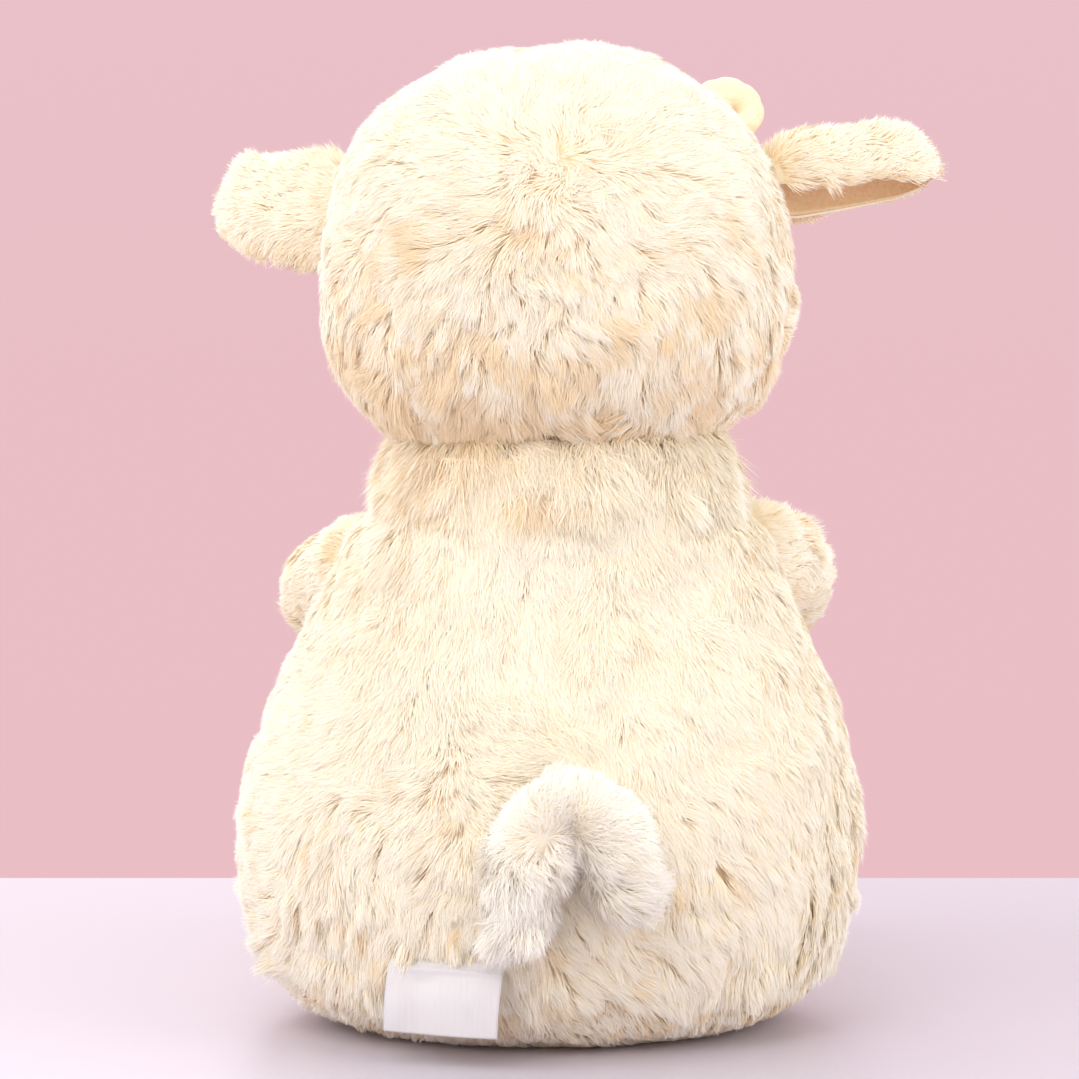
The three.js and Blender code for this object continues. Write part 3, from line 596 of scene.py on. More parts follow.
limbs = {
    "arm": {
        "root": 18.5, "places": ((57, -46, 133), (77, -67, 125), (65, -105, 109)),
        "shares": (1, 0.98, 0.93, 0.86, 0.8), "shift": -2.4, "drops": {toyLeft: 3.5, toyRight: 0},
        "raised": {toyLeft: 0, toyRight: 0.9}, "density": 480, "width": 0.34},
    "leg": {
        "root": 24, "places": ((43, -77.5, 27), (48, -103, 26), (52, -139, 25.5)),
        "shares": (1, 0.99, 0.96, 0.92, 0.9), "shift": 0, "drops": {toyLeft: 0, toyRight: 0},
        "raised": {toyLeft: 0, toyRight: 0}, "density": 260, "width": 0.48},
}
turningGap = 0.7
headCentre = (-3, 0, 221.0)


def limbPlaces(kind, side):
    offset = (kind["shift"], 0, -kind["drops"][side])
    return [np.array(place, float) * (side, 1, 1) + offset for place in kind["places"]]


def sockets(gap):
    # The balls in which the roots of the arms and legs turn
    return [(limbPlaces(kind, side)[0], kind["root"] + gap) for kind in limbs.values() for side in sideNames]


def dentSockets(made, gap):
    points, normals, _ = meshArrays(made)
    for centre, radius in sockets(gap):
        points = dent(points, normals, centre, radius)
    setPoints(made, points)


def bodyGrid():
    sizes = np.array([body["rise"], body["halfWidth"], body["halfDepth"], body["halfDepth"]])
    rows = list(np.array(body["rows"]) * sizes - (body["baseFlat"], 0, 0, 0))
    for i in range(body["neckRows"] + 1):
        angle = body["neckShare"] * (1 - i / body["neckRows"])
        radius = body["neckBall"] * math.sin(angle)
        rows.append((body["neckHeight"] + body["neckBall"] * math.cos(angle), radius, radius, radius))
    rows = smoothTable(rows, body["steps"])
    rows[:, 1:] = np.maximum(rows[:, 1:], 0)
    angles = roundAngles(body["columns"])
    lean = body["neckShift"] * rise(rows[:, :1], body["rise"] * body["leanStart"], body["neckHeight"])
    x = rows[:, 1:2] * np.cos(angles) + lean
    depth = np.where(np.sin(angles) > 0, rows[:, 2:3], rows[:, 3:4])
    y = np.minimum(depth * np.sin(angles), body["backFlat"])
    z = np.repeat(np.maximum(rows[:, :1], 0), len(angles), 1)
    return np.stack([x, y, z], 2)


def bodyDepth(points):
    # The pile hides the skin by its own depth, but not under the head or the base
    low = rise(points[:, 2], 1, 22)
    high = 1 - rise(points[:, 2], 160, 178)
    return body["bareDepth"] + (body["pileDepth"] - body["bareDepth"]) * low * high


def bodyFlow(points, facing):
    # The pile falls straight down the back, and fans out from beside the tail
    x, y, z = points.T
    behind = rise(y, -30, 20)
    fan = points - np.array(body["fanCentre"], float)
    distance = np.linalg.norm(fan, axis=1)
    fanTop = z + 10 * drift(points, 50, 2)
    radial = (1 - rise(fanTop, 66 + 0.1 * np.abs(x), 128 + 0.3 * np.abs(x))) * behind
    radial *= rise(x + 0.5 * (60 - z), -32, 4)
    way = np.tile(-up, (len(points), 1))
    shoulder = rise(x, 5, 60) * rise(z, 105, 150) * behind
    way[:, 0] += 1.5 * shoulder - 0.45 * rise(x, -10, 30) * (1 - shoulder) * behind
    way[:, 0] -= 0.35 * rise(-x, 20, 70) * behind
    fan[:, 2] = -0.3 * distance - 0.9 * np.maximum(-fan[:, 2], 0)
    way = blendWays(unit(way), unit(fan), radial)
    centre = bell(distance, 20)
    way = turnAbout(unit(way), facing, drifts(points, *body["swirls"]) + 0.8 * centre * drift(points, 12, 9))

    # The parting, the base, the neck, the lower back, the base seam and the hair over the label
    parting = bell(x - body["partingSide"], 4.5) * behind * rise(z, 78, 95)
    onBase = 1 - rise(z, body["baseSeam"] - 1, body["baseSeam"] + 1)
    ruff = rise(z, 156, 166) * (0.35 + 0.65 * behind)
    low = (1 - rise(z, 45, 110)) * behind
    overSeam = rise(z, 20, 22) * (1 - rise(z, 26, 36)) * behind
    fringe = bell(x - body["labelSide"], 20, 4) * rise(z, 30, 33) * (1 - rise(z, 36, 48)) * behind
    lift = 0.85 + 0.3 * drift(points, 24, 5) - 0.2 * parting + 0.5 * low
    lift = lift * (1 - 0.45 * onBase + 1.0 * ruff) * (1 + 0.5 * overSeam) * (1 + 0.9 * fringe)
    size = (0.92 + 0.12 * drift(points, 40, 6) + 0.12 * low + 0.35 * ruff) * (1 - 0.5 * onBase)
    size = size * (1 + 0.35 * fringe) * (1 - 0.2 * centre)
    warmToneAndShade = 0.16 * drift(points, 34, 8) + 0.15 * centre + 0.12 * parting - 0.1 * low
    # The base panel and the pile just under the head are made warmer and darker: painted shade
    warmToneAndShade = warmToneAndShade + 0.45 * onBase * behind + 0.5 * rise(z, 150, 168) * rise(x, -25, 5)
    return way, lift, size, warmToneAndShade, 0.4 + 1.1 * low + 0.2 * drift(points, 30, 10)


def offTheSockets(points, facing):
    clear = (distanceFrom(points, headCentre) >= body["collarBall"]) & (points[:, 2] < body["neckEdge"])
    for centre, radius in sockets(turningGap + 0.5):
        clear &= distanceFrom(points, centre) > radius
    return clear


def buildBody():
    skin = gridObject("bodySkin", bodyGrid(), capEnds=True)
    filling = inset(copyOf(skin, "bodyFilling"), body["fillingDepth"])
    dentSockets(inset(skin, bodyDepth), turningGap)
    above = ((0, 0, body["baseSeam"]), (0, 0, -1))
    behind = ((0, 0, 0), (0, -1, 0))
    cuts = {
        "bodyBackLeft": (above, behind, ((0, 0, 0), (-1, 0, 0))),
        "bodyBackRight": (above, behind, ((0, 0, 0), (1, 0, 0))),
        "bodyBelly": (above, ((0, 0, 0), (0, 1, 0))),
        "basePanel": (((0, 0, body["baseSeam"]), (0, 0, 1)),),
    }
    for name, (node, density, width, seed) in body["panels"].items():
        pile = {**body["pile"], "density": density, "width": width, "seed": seed}
        piece = growPile(name, panelOf(skin, name + "Skin", *cuts[name]), pile, bodyFlow, offTheSockets)
        stuffed(piece, "torso", "fur_cloth", node)
    discard(skin)

    # Filling and the pellet bag inside the covers
    dentSockets(filling, 2)
    bag = panelOf(filling, "pelletBag", ((0, 0, body["pelletTop"] - 1), (0, 0, 1)))
    upper = panelOf(filling, "bodyStuffing", ((0, 0, body["pelletTop"]), (0, 0, -1)))
    discard(filling)
    stuffed(workOn(bag, fillHoles), "torso", "pellets", "pellet_bag")
    stuffed(workOn(upper, fillHoles), "torso", "fibre_filling", "body_stuffing")


buildBody()
print("body done")


# Head

head = {
    "halfWidth": 69, "halfDepth": 62, "rise": 72, "drop": 54, "fullness": 2.3,
    "place": (-2, 0, 221), "roll": math.radians(4.5), "yaw": math.radians(-8),
    "faceDip": math.radians(22), "faceSeam": 14, "pileDepth": 2.2, "bareDepth": 0.6, "faceDepth": 0.3,
    "fillingDepth": 8.0, "rows": 72, "columns": 96, "whorl": (-1.2, 50, 261), "tuft": (-12.3, 47, 193),
    "socketGaps": (1.0, 1.0, 6.0), "neckClear": 3.5, "swirls": ((0.4, 45, 21), (0.35, 18, 22)),
    "pile": {"density": 800, "width": 0.3, "length": 11.5, "wrap": 80, "height": 3.2, "lean": 0.89,
             "bow": 0.07, "curl": 0.5, "stray": 0.26, "most": 120000,
             "tufts": ((9.0, 0.14, 0.26, 0.14), (3.2, 0.12, 0.22, 0.3))},
    "seeds": {toyLeft: 31, toyRight: 32},
}
eyes = {
    "radius": 6.5, "dome": 4.6, "side": 31, "rise": 12, "shank": 2, "shankLength": 9, "step": 0.4, "gap": 0.3,
    "dimple": 2.2, "dimpleWidth": 9,
}
headPlace = np.array(head["place"], float)
headTurn = np.array(Matrix.Rotation(head["yaw"], 3, "Z") @ Matrix.Rotation(head["roll"], 3, "Y"))
earPlaces = {side: (side * 62, 24.5, 28) for side in sideNames}
neckCentre = np.array([body["neckShift"], 0.0, body["neckHeight"]])


def dipped(angle):
    # The way a face turned down by an angle looks, and the way up its front
    c, s = math.cos(angle), math.sin(angle)
    return np.array([0, -c, -s]), np.array([0, -s, c])


faceAxis, faceUp = dipped(head["faceDip"])


def toWorld(points):
    return points @ headTurn.T + headPlace


def eggPoints(ways):
    x, y, z = (ways[..., k] for k in range(3))
    height = np.where(z > 0, head["rise"], head["drop"])
    power = head["fullness"]
    total = np.abs(x / head["halfWidth"]) ** power + np.abs(y / head["halfDepth"]) ** power
    return ways * ((total + np.abs(z / height) ** power) ** (-1 / power))[..., None]


def eggPlace(side, high, forward):
    # A point of the head's form and the way it faces there
    point = eggPoints(unit(np.array([side, -forward, high], float)))
    height = head["rise"] if point[2] > 0 else head["drop"]
    power = head["fullness"] - 1
    sizes = np.array([head["halfWidth"], head["halfDepth"], height])
    return point, unit(np.sign(point) * np.abs(point / sizes) ** power / sizes)


def eyePlace(side):
    return eggPlace(side * eyes["side"], eyes["rise"], math.sqrt(head["halfDepth"] ** 2 - eyes["side"] ** 2))


def headGrid():
    polar = np.linspace(0, math.pi, head["rows"] + 1)[:, None, None]
    angle = roundAngles(head["columns"])[None, :, None]
    ways = faceAxis * np.cos(polar) + np.sin(polar) * (leftward * np.cos(angle) + faceUp * np.sin(angle))
    return eggPoints(unit(ways))


def outOfBall(points, centre, radius):
    offset = points - centre
    distance = np.linalg.norm(offset, axis=1, keepdims=True)
    return np.where(distance < radius, centre + offset / distance * radius, points)


def headFlow(points, facing):
    # The pile runs out from the whorl, and a tuft over the neck draws it in
    x, _, z = points.T
    whorl = np.array(head["whorl"], float)
    tuft = np.array(head["tuft"], float)
    distance = distanceFrom(points, whorl)
    way = unit(points - whorl)
    way[:, 2] -= 0.35 * rise(distance, 25, 80)
    toTuft = tuft + np.array([0, 0, -6.0]) - points
    near = bell(distanceFrom(points, tuft), 17)
    way = unit(way) * (1 - near)[:, None] + unit(toTuft) * (near * 1.2)[:, None]
    centre = bell(distance, 15)
    way = turnAbout(unit(way), facing, drifts(points, *head["swirls"]) + 2.6 * centre * drift(points, 10, 26))
    seam = bell(x - 4 - 0.05 * (z - 261), 3.5) * rise(z, 262, 275)
    crown = rise(z, 250, 285)
    low = 1 - rise(z, 185, 268)
    lift = 0.9 + 0.25 * drift(points, 22, 23) + 0.35 * near - 0.35 * seam + 0.35 * low
    for place in earPlaces.values():
        lift = lift + 0.8 * bell(distanceFrom(points, toWorld(eggPlace(*place)[0])), 15)
    size = 0.95 + 0.14 * drift(points, 30, 24) + 0.1 * low
    # The lower head is made warmer and darker, as painted shade, and the crown paler, as painted light
    warmToneAndShade = 0.25 * drift(points, 30, 25) + 0.8 * low - 0.25 * crown - 0.4 * near
    return way, lift, size, warmToneAndShade, 1.3 - 0.95 * crown + 0.4 * low + 0.2 * drift(points, 26, 27)


def offTheNeck(points, facing):
    return distanceFrom(points, neckCentre) > body["neckBall"] + head["neckClear"]


def buildHead():
    skin = gridObject("headSkin", headGrid())
    filling = inset(copyOf(skin, "headStuffing"), head["fillingDepth"])
    face = copyOf(skin, "faceSkin")
    # The fur cloth's skin lies deeper than the smooth face, and both have the neck's socket
    points, normals, _ = meshArrays(skin)
    behindSeam = head["faceSeam"] - points @ faceAxis
    depth = head["bareDepth"] + (head["pileDepth"] - head["bareDepth"]) * rise(behindSeam, -1, 10)
    setPoints(skin, toWorld(points - normals * depth[:, None]))
    setPoints(face, toWorld(points - normals * head["faceDepth"]))
    setPoints(filling, toWorld(meshArrays(filling)[0]))
    for piece, gap in zip((skin, face, filling), head["socketGaps"]):
        setPoints(piece, outOfBall(meshArrays(piece)[0], neckCentre, body["neckBall"] + gap))
    axis = headTurn @ faceAxis
    seam = toWorld(faceAxis * head["faceSeam"])
    for side, name in sideNames.items():
        pile = {**head["pile"], "seed": head["seeds"][side]}
        middle = (headPlace, headTurn @ leftward * -side)
        panel = panelOf(skin, "headBack" + name + "Skin", (seam, axis), middle)
        piece = growPile("headBack" + name, panel, pile, headFlow, offTheNeck)
        stuffed(piece, "head", "fur_cloth", "head_back_" + name.lower())
    front = panelOf(face, "facePanel", (seam, -axis))
    discard(skin, face)
    points, normals, _ = meshArrays(front)
    for side in sideNames:
        near = bell(distanceFrom(points, toWorld(eyePlace(side)[0])), eyes["dimpleWidth"])
        points = points - normals * (near * eyes["dimple"])[:, None]
    stuffed(setPoints(front, points), "head", "smooth_cloth", "face_panel")
    stuffed(filling, "head", "fibre_filling", "head_stuffing")


buildHead()
print("head done")


# Eyes: a domed button with its shank, made once and copied

def selectFaces(thing, test):
    bpy.ops.mesh.select_all(action="DESELECT")
    work = bmesh.from_edit_mesh(thing.data)
    for face in work.faces:
        face.select = test(face)
    work.select_flush(True)
    bmesh.update_edit_mesh(thing.data)


def buildEyes():
    bpy.ops.object.select_all(action="DESELECT")
    radius = eyes["radius"] * millimetre
    bpy.ops.mesh.primitive_uv_sphere_add(segments=40, ring_count=24, radius=radius)
    button = bpy.context.active_object
    bpy.ops.object.mode_set(mode="EDIT")
    bpy.ops.mesh.select_all(action="SELECT")
    bpy.ops.mesh.bisect(plane_co=(0, 0, 0), plane_no=(0, 0, 1), clear_inner=True, use_fill=True)
    bpy.ops.mesh.select_all(action="SELECT")
    bpy.ops.transform.resize(value=(1, 1, eyes["dome"] / eyes["radius"]), center_override=(0, 0, 0))
    # The back is drawn in to the shank and drawn out
    selectFaces(button, lambda face: face.normal.z < -0.9)
    for length, narrowing in ((eyes["step"], 1 - eyes["shank"] / eyes["radius"]), (eyes["shankLength"], 0)):
        bpy.ops.mesh.extrude_region_move(TRANSFORM_OT_translate={"value": (0, 0, -length * millimetre)})
        if narrowing:
            bpy.ops.mesh.inset(thickness=radius * narrowing)
    bpy.ops.object.mode_set(mode="OBJECT")
    bpy.ops.object.shade_smooth_by_angle(angle=math.radians(40))
    for side, name in sideNames.items():
        point, normal = eyePlace(side)
        eye = copyOf(button, "eye" + name)
        turn = Vector(up).rotation_difference(Vector(headTurn @ normal)).to_matrix().to_4x4()
        place = Vector(toWorld(point + normal * eyes["gap"])) * millimetre
        eye.data.transform(Matrix.Translation(place) @ turn)
        fitted(eye, "head", "eye_plastic", "eye_" + name.lower())
    discard(button)


buildEyes()


# Muzzle, nose and mouth

muzzle = {
    "halfWidth": 27, "halfHeight": 22, "reach": 27, "drop": 15, "flat": 7, "dip": math.radians(14),
    "gap": 0.3, "rows": 30, "columns": 72, "fillingDepth": 4.0,
    "groove": 1.1, "grooveWidth": 1.6, "grooveTop": 4, "grooveFoot": -20,
}
nose = {
    "halfWidth": 8, "halfHeight": 5.5, "thick": 3, "rise": 7, "widening": 0.25, "flat": 0.8, "stitches": 26,
    "ridge": 0.16, "rows": 14, "columns": 104,
}
mouth = {"thread": 0.7, "halfWidth": 8, "drop": 7, "steps": 25, "around": 10}
muzzleAxis, muzzleUp = dipped(muzzle["dip"])
muzzlePlace = eggPoints(unit(np.array([0, -head["halfDepth"], -muzzle["drop"]], float)))
muzzleOrigin = muzzlePlace - muzzleAxis * (muzzle["flat"] - muzzle["gap"])


def muzzlePoints(polar, angle, outward):
    polar, angle = np.broadcast_arrays(np.asarray(polar, float), np.asarray(angle, float))
    spread = np.sin(polar)[..., None]
    points = muzzleOrigin + muzzleAxis * (muzzle["reach"] + outward) * np.cos(polar)[..., None]
    points = points + leftward * (muzzle["halfWidth"] + outward) * spread * np.cos(angle)[..., None]
    return points + muzzleUp * (muzzle["halfHeight"] + outward) * spread * np.sin(angle)[..., None]


def domeAngles(form):
    return np.linspace(0, math.pi / 2, form["rows"])[:, None], roundAngles(form["columns"])[None]


noseAngle = math.asin(nose["rise"] / muzzle["halfHeight"])
noseCentre = muzzlePoints(noseAngle, math.pi / 2, 0)
noseNormal = unit(muzzleAxis * math.cos(noseAngle) / muzzle["reach"]
                  + muzzleUp * math.sin(noseAngle) / muzzle["halfHeight"])


def buildMuzzle():
    polar, angle = domeAngles(muzzle)
    grid = muzzlePoints(polar, angle, 0)
    # A sewn groove runs from the nose down to the mouth, under which the muzzle parts
    high = (grid - muzzleOrigin) @ muzzleUp
    groove = bell(grid[..., 0], muzzle["grooveWidth"]) * (high < muzzle["grooveTop"])
    groove = groove * np.clip((high - muzzle["grooveFoot"]) / 8, 0, 1)
    grid = grid - muzzleAxis * (groove * muzzle["groove"])[..., None]
    flat = (noseCentre - noseNormal * nose["flat"]) @ noseNormal
    excess = np.maximum(grid @ noseNormal - flat, 0)
    grid = grid - noseNormal * excess[..., None]
    cover = gridObject("muzzleCover", toWorld(grid))
    stuffed(cover, "head", "smooth_cloth", "muzzle_cover")
    inside = muzzlePoints(polar[::2], angle[:, ::2], -muzzle["fillingDepth"])
    filling = gridObject("muzzleStuffing", toWorld(inside), capEnds=True)
    stuffed(filling, "head", "fibre_filling", "muzzle_stuffing")


def buildNose():
    polar, angle = domeAngles(nose)
    noseUp = np.cross(noseNormal, leftward)
    origin = noseCentre + noseNormal * (muzzle["gap"] - nose["flat"])
    widening = 1 + nose["widening"] * np.sin(angle)
    across = nose["halfWidth"] * widening * np.sin(polar) * np.cos(angle)
    high = nose["halfHeight"] * np.sin(polar) * np.sin(angle)
    # Satin stitches lie side by side, each a low ridge
    stitch = across / nose["halfWidth"] * math.pi * nose["stitches"] / 2
    ridge = nose["ridge"] * np.cos(stitch) * np.cos(polar)
    out = nose["thick"] * 0.75 * np.cos(polar) + ridge
    grid = origin + noseNormal * out[..., None] + leftward * across[..., None] + noseUp * high[..., None]
    made = gridObject("noseStitching", toWorld(grid), capEnds=True)
    fitted(made, "head", "thread", "nose")


def buildMouth():
    shares = np.linspace(-1, 1, mouth["steps"])
    angle = -math.pi / 2 + shares * math.asin(mouth["halfWidth"] / muzzle["halfWidth"]) * 2
    polar = np.arcsin((mouth["drop"] + mouth["drop"] * shares ** 2 / 2) / muzzle["halfHeight"])
    centres = muzzlePoints(polar, angle, mouth["thread"])
    way = unit(np.gradient(centres, axis=0))
    across = unit(np.cross(way, unit(centres - muzzleOrigin)))
    lift = np.cross(across, way)
    turns = roundAngles(mouth["around"])
    taper = np.sqrt(np.clip(1 - np.abs(shares) ** 8, 0.05, 1))[:, None, None] * mouth["thread"]
    ring = across[:, None] * np.cos(turns)[None, :, None] + lift[:, None] * np.sin(turns)[None, :, None]
    line = gridObject("mouthStitching", toWorld(centres[:, None] + ring * taper), capEnds=True)
    fitted(line, "head", "thread", "mouth_stitch")


buildMuzzle()
buildNose()
buildMouth()
print("face done")


# Ears

ears = {
    "cloth": 1.8, "lining": 1.2, "seamGap": 0.3, "length": 56, "halfHeight": {toyLeft: 19, toyRight: 15.5},
    "halfDepth": {toyLeft: 7.5, toyRight: 10}, "rootHalf": 4.2, "rounding": 14, "tipRounding": 13, "droop": 3,
    "flat": 1.5, "aim": math.radians(28), "frontEdge": math.radians(150),
    "backEdge": {toyLeft: math.radians(-152), toyRight: math.radians(-88)},
    "lowTaper": {toyLeft: 0.6, toyRight: 0.62}, "highTaper": {toyLeft: -0.12, toyRight: -0.05},
    "taperPower": 1.6, "twist": {toyLeft: math.radians(-16), toyRight: 0}, "steps": 46, "columns": 44,
    "innerGap": 0.9, "liningGap": 0.8, "midDepth": 5, "coreDepth": 8,
    "hemPull": {toyLeft: 1.1, toyRight: 0.5}, "hemCut": {toyLeft: 0, toyRight: 0.3},
    "rootCut": {toyLeft: 0, toyRight: 0.6},
    "pile": {"density": 560, "length": 7.5, "wrap": 40, "height": 3.2, "lean": 0.84, "bow": 0.08,
             "curl": 0.3, "width": 0.32, "stray": 0.28, "most": 34000,
             "tufts": ((6.0, 0.16, 0.3, 0.16), (2.4, 0.14, 0.22, 0.3))},
    "seed": 45,
}


def earAxis(side):
    return np.array([side * math.cos(ears["aim"]), -math.sin(ears["aim"]), 0])


def earSheet(side, depth):
    # The ear's open fold, inset by a depth, in the world
    axis = earAxis(side)
    toFront = unit(ahead - axis * (ahead @ axis))
    twist = ears["twist"][side]
    deep = toFront * math.cos(twist) + up * math.sin(twist)
    high = up * math.cos(twist) - toFront * math.sin(twist)
    root = eggPlace(*earPlaces[side])[0] + axis * (turningGap - ears["flat"])
    # Steps close up where the ear rounds at its root and tip
    share = 0.5 - 0.5 * np.cos(np.linspace(0, math.pi, ears["steps"]))
    along = share * ears["length"]
    rootShare = np.minimum(along / ears["rounding"], 1) - 1
    tipShare = np.maximum(along - ears["length"] + ears["tipRounding"], 0) / ears["tipRounding"]
    swell = np.sqrt(1 - rootShare ** 2) * np.sqrt(np.maximum(1 - tipShare ** 2, 0))
    tall = np.maximum(ears["halfHeight"][side] * swell, ears["rootHalf"]) - depth
    thick = np.maximum(ears["halfDepth"][side] * swell, ears["rootHalf"]) - depth
    middle = root + axis * along[:, None] - up * (ears["droop"] * share ** 2)[:, None]
    angle = np.linspace(ears["backEdge"][side], ears["frontEdge"], ears["columns"])[None, :, None]
    taper = np.where(np.cos(angle) < 0, ears["lowTaper"][side], ears["highTaper"][side])
    tall = tall[:, None, None] * (1 - taper * (share ** ears["taperPower"])[:, None, None])
    fold = deep * thick[:, None, None] * np.sin(angle)
    return toWorld(middle[:, None] + fold + high * tall * np.cos(angle))


def buildEar(side, name):
    bodyName = "ear_" + name.lower()
    axis = headTurn @ earAxis(side)
    facingOut = headTurn @ unit(ahead)
    middle = earSheet(side, ears["midDepth"])
    rootPlace, centre = middle[0].mean(0), middle.reshape(-1, 3).mean(0)
    core = earSheet(side, ears["coreDepth"]).reshape(-1, 3)

    def earFlow(points, facing):
        # Hair along the ear, gathered at its lower edge and short where it would hide the lining
        way = np.tile(axis, (len(points), 1)) + 0.35 * (points - centre) / 15
        way = turnAbout(unit(way), facing, 0.35 * drift(points, 18, 41))
        fromRoot = (points - rootPlace) @ axis
        low = bell(np.maximum(points[:, 2] - centre[2] + 9, 0), 6)
        front = rise((points - centre) @ facingOut, -2, 4) * low
        hem = low * (1 - front)
        way[:, 2] -= ears["hemPull"][side] * hem
        lift = (1 + 0.25 * drift(points, 12, 42) + 0.6 * (1 - rise(fromRoot, 3, 9))) * (1 - 0.6 * front)
        # Low on the ear the pile is made warmer and darker, as painted shade, and its locks gather more
        under = rise(centre[2] - points[:, 2], 2, 9) if side == toyLeft else low
        size = (1 + 0.12 * drift(points, 20, 43)) * (1 - 0.85 * front) * (1 - ears["hemCut"][side] * hem)
        size = size * (1 - ears["rootCut"][side] * low * (1 - rise(fromRoot, 6, 26)))
        return unit(way), lift, size, 0.2 * drift(points, 22, 44) - 0.15 + 0.75 * under, 0.5 + 0.7 * under

    def onTheOutside(points, facing):
        return np.sum((points - core[nearest(points, core)]) * facing, axis=1) > 0.5

    inner = earSheet(side, ears["cloth"] + ears["innerGap"])
    sheet = shellObject("earSkin" + name, earSheet(side, ears["cloth"]), inner)
    pile = {**ears["pile"], "seed": ears["seed"] + side}
    piece = growPile("earOuter" + name, sheet, pile, earFlow, onTheOutside)
    stuffed(piece, bodyName, "fur_cloth", "ear_outer_" + name.lower())
    depth = ears["cloth"] + ears["seamGap"] + ears["liningGap"]
    lining = shellObject("earLining" + name, earSheet(side, depth), earSheet(side, depth + ears["lining"]))
    stuffed(lining, bodyName, "smooth_cloth", "ear_lining_" + name.lower(), liningLook)


for side, name in sideNames.items():
    buildEar(side, name)
print("ears done")


# Horns

horns = {
    "root": 6.5, "tip": 3, "curl": 7, "curlShare": 0.55, "turn": math.radians(250), "spread": 5, "stand": 6.5,
    "side": {toyLeft: 40, toyRight: 44}, "rise": 47, "forward": 34, "flat": 2.3, "gap": 0.3,
    "lean": (0.55, 0.15, -0.8), "steps": 56, "around": 32, "tipSteps": 8, "creases": 5.5, "creaseDepth": 0.07,
    "seamDepth": 0.05, "fillingDepth": 1.8,
}


def hornGrid(side, depth):
    point, outward = eggPlace(side * horns["side"][side], horns["rise"], horns["forward"])
    sideways, backwards, upwards = horns["lean"]
    back = np.array([side * sideways, backwards, upwards])
    back = unit(back - outward * (back @ outward))
    spreadWay = unit(np.cross(outward, back)) * side
    base = point + outward * (horns["gap"] - horns["flat"])
    angles = roundAngles(horns["around"])

    def place(t):
        angle = math.pi - t * horns["turn"]
        curl = horns["curl"] * (1 + (horns["curlShare"] - 1) * t)
        centre = base + back * (horns["curl"] + curl * math.cos(angle))
        centre = centre + outward * (horns["stand"] + curl * math.sin(angle))
        return centre + spreadWay * (horns["spread"] * t * t)

    def ring(centre, tangent, radius, t):
        # Creases pinch the inside of the curl, and a seam runs along it
        inward = 0.5 - 0.5 * np.cos(angles - math.pi / 2)
        crease = 1 - horns["creaseDepth"] * bell((t * horns["creases"]) % 1 - 0.5, 0.16) * inward
        crease = crease - horns["seamDepth"] * bell(angles - math.pi * 1.5, 0.25)
        return ringRound(centre, tangent, spreadWay, radius * crease, angles)

    rows = [ring(base, outward, horns["root"] - depth, 0)]
    for t in np.linspace(0, 1, horns["steps"]):
        tangent = outward if t == 0 else unit(place(t + 0.01) - place(t - 0.01))
        rows.append(ring(place(t), tangent, horns["root"] + (horns["tip"] - horns["root"]) * t - depth, t))
    last = unit(place(1.01) - place(0.99))
    tip = horns["tip"] - depth
    for turn in np.linspace(0.15, 1, horns["tipSteps"]) * math.pi / 2:
        rows.append(ring(place(1) + last * tip * math.sin(turn), last, tip * max(math.cos(turn), 0), 1))
    return toWorld(np.array(rows))


for side, name in sideNames.items():
    cover = gridObject("hornCover" + name, hornGrid(side, 0), capEnds=True)
    stuffed(cover, "head", "horn_cloth", "horn_cover_" + name.lower())
    filling = gridObject("hornStuffing" + name, hornGrid(side, horns["fillingDepth"])[::3, ::2], capEnds=True)
    stuffed(filling, "head", "fibre_filling", "horn_stuffing_" + name.lower())
print("horns done")


# Arms and legs

limbForm = {
    "columns": 40, "rootSteps": 10, "steps": 24, "tipSteps": 12, "rounding": 0.75, "hoofStart": 0.5,
    "hoofOverlap": 0.02, "pileDepth": 2.8, "hoofDepth": 1.2, "fillingDepth": 7.5, "cleft": 1.4,
    "cleftWidth": 1.5, "rootHidden": -13, "swirls": ((0.45, 30, 51), (0.25, 14, 52)), "seed": 60,
    "pile": {"length": 9.5, "wrap": 35, "height": 3.0, "lean": 0.88, "bow": 0.06, "curl": 0.4, "stray": 0.24,
             "most": 34000, "tufts": ((8.0, 0.16, 0.3, 0.18), (3.0, 0.14, 0.22, 0.34))},
}


def limbRows(places, form, depth, low=0.0, high=1.0, steps=limbForm["steps"], rounding=limbForm["rounding"]):
    # Rings along the bent tube, from its ball-shaped root to its round end
    angles = roundAngles(limbForm["columns"])
    shares = form["shares"]
    spots = np.linspace(0, 1, len(shares))
    first, last = curveWay(places, 0), curveWay(places, 1)
    rows = []
    if low <= 0:
        radius = form["root"] - depth
        for turn in np.linspace(0, 1, limbForm["rootSteps"], endpoint=False) * math.pi / 2:
            centre = curvePoint(places, 0) - first * radius * math.cos(turn)
            rows.append(ringRound(centre, first, up, radius * math.sin(turn), angles))
    for t in np.linspace(low, high, steps):
        radius = form["root"] * np.interp(t, spots, shares) - depth
        rows.append(ringRound(curvePoint(places, t), curveWay(places, t), up, radius, angles))
    if high >= 1:
        radius = form["root"] * shares[-1] - depth
        for turn in np.linspace(0.08, 1, limbForm["tipSteps"]) * math.pi / 2:
            centre = curvePoint(places, 1) + last * radius * rounding * math.sin(turn)
            rows.append(ringRound(centre, last, up, radius * max(math.cos(turn), 0), angles))
    return np.array(rows)


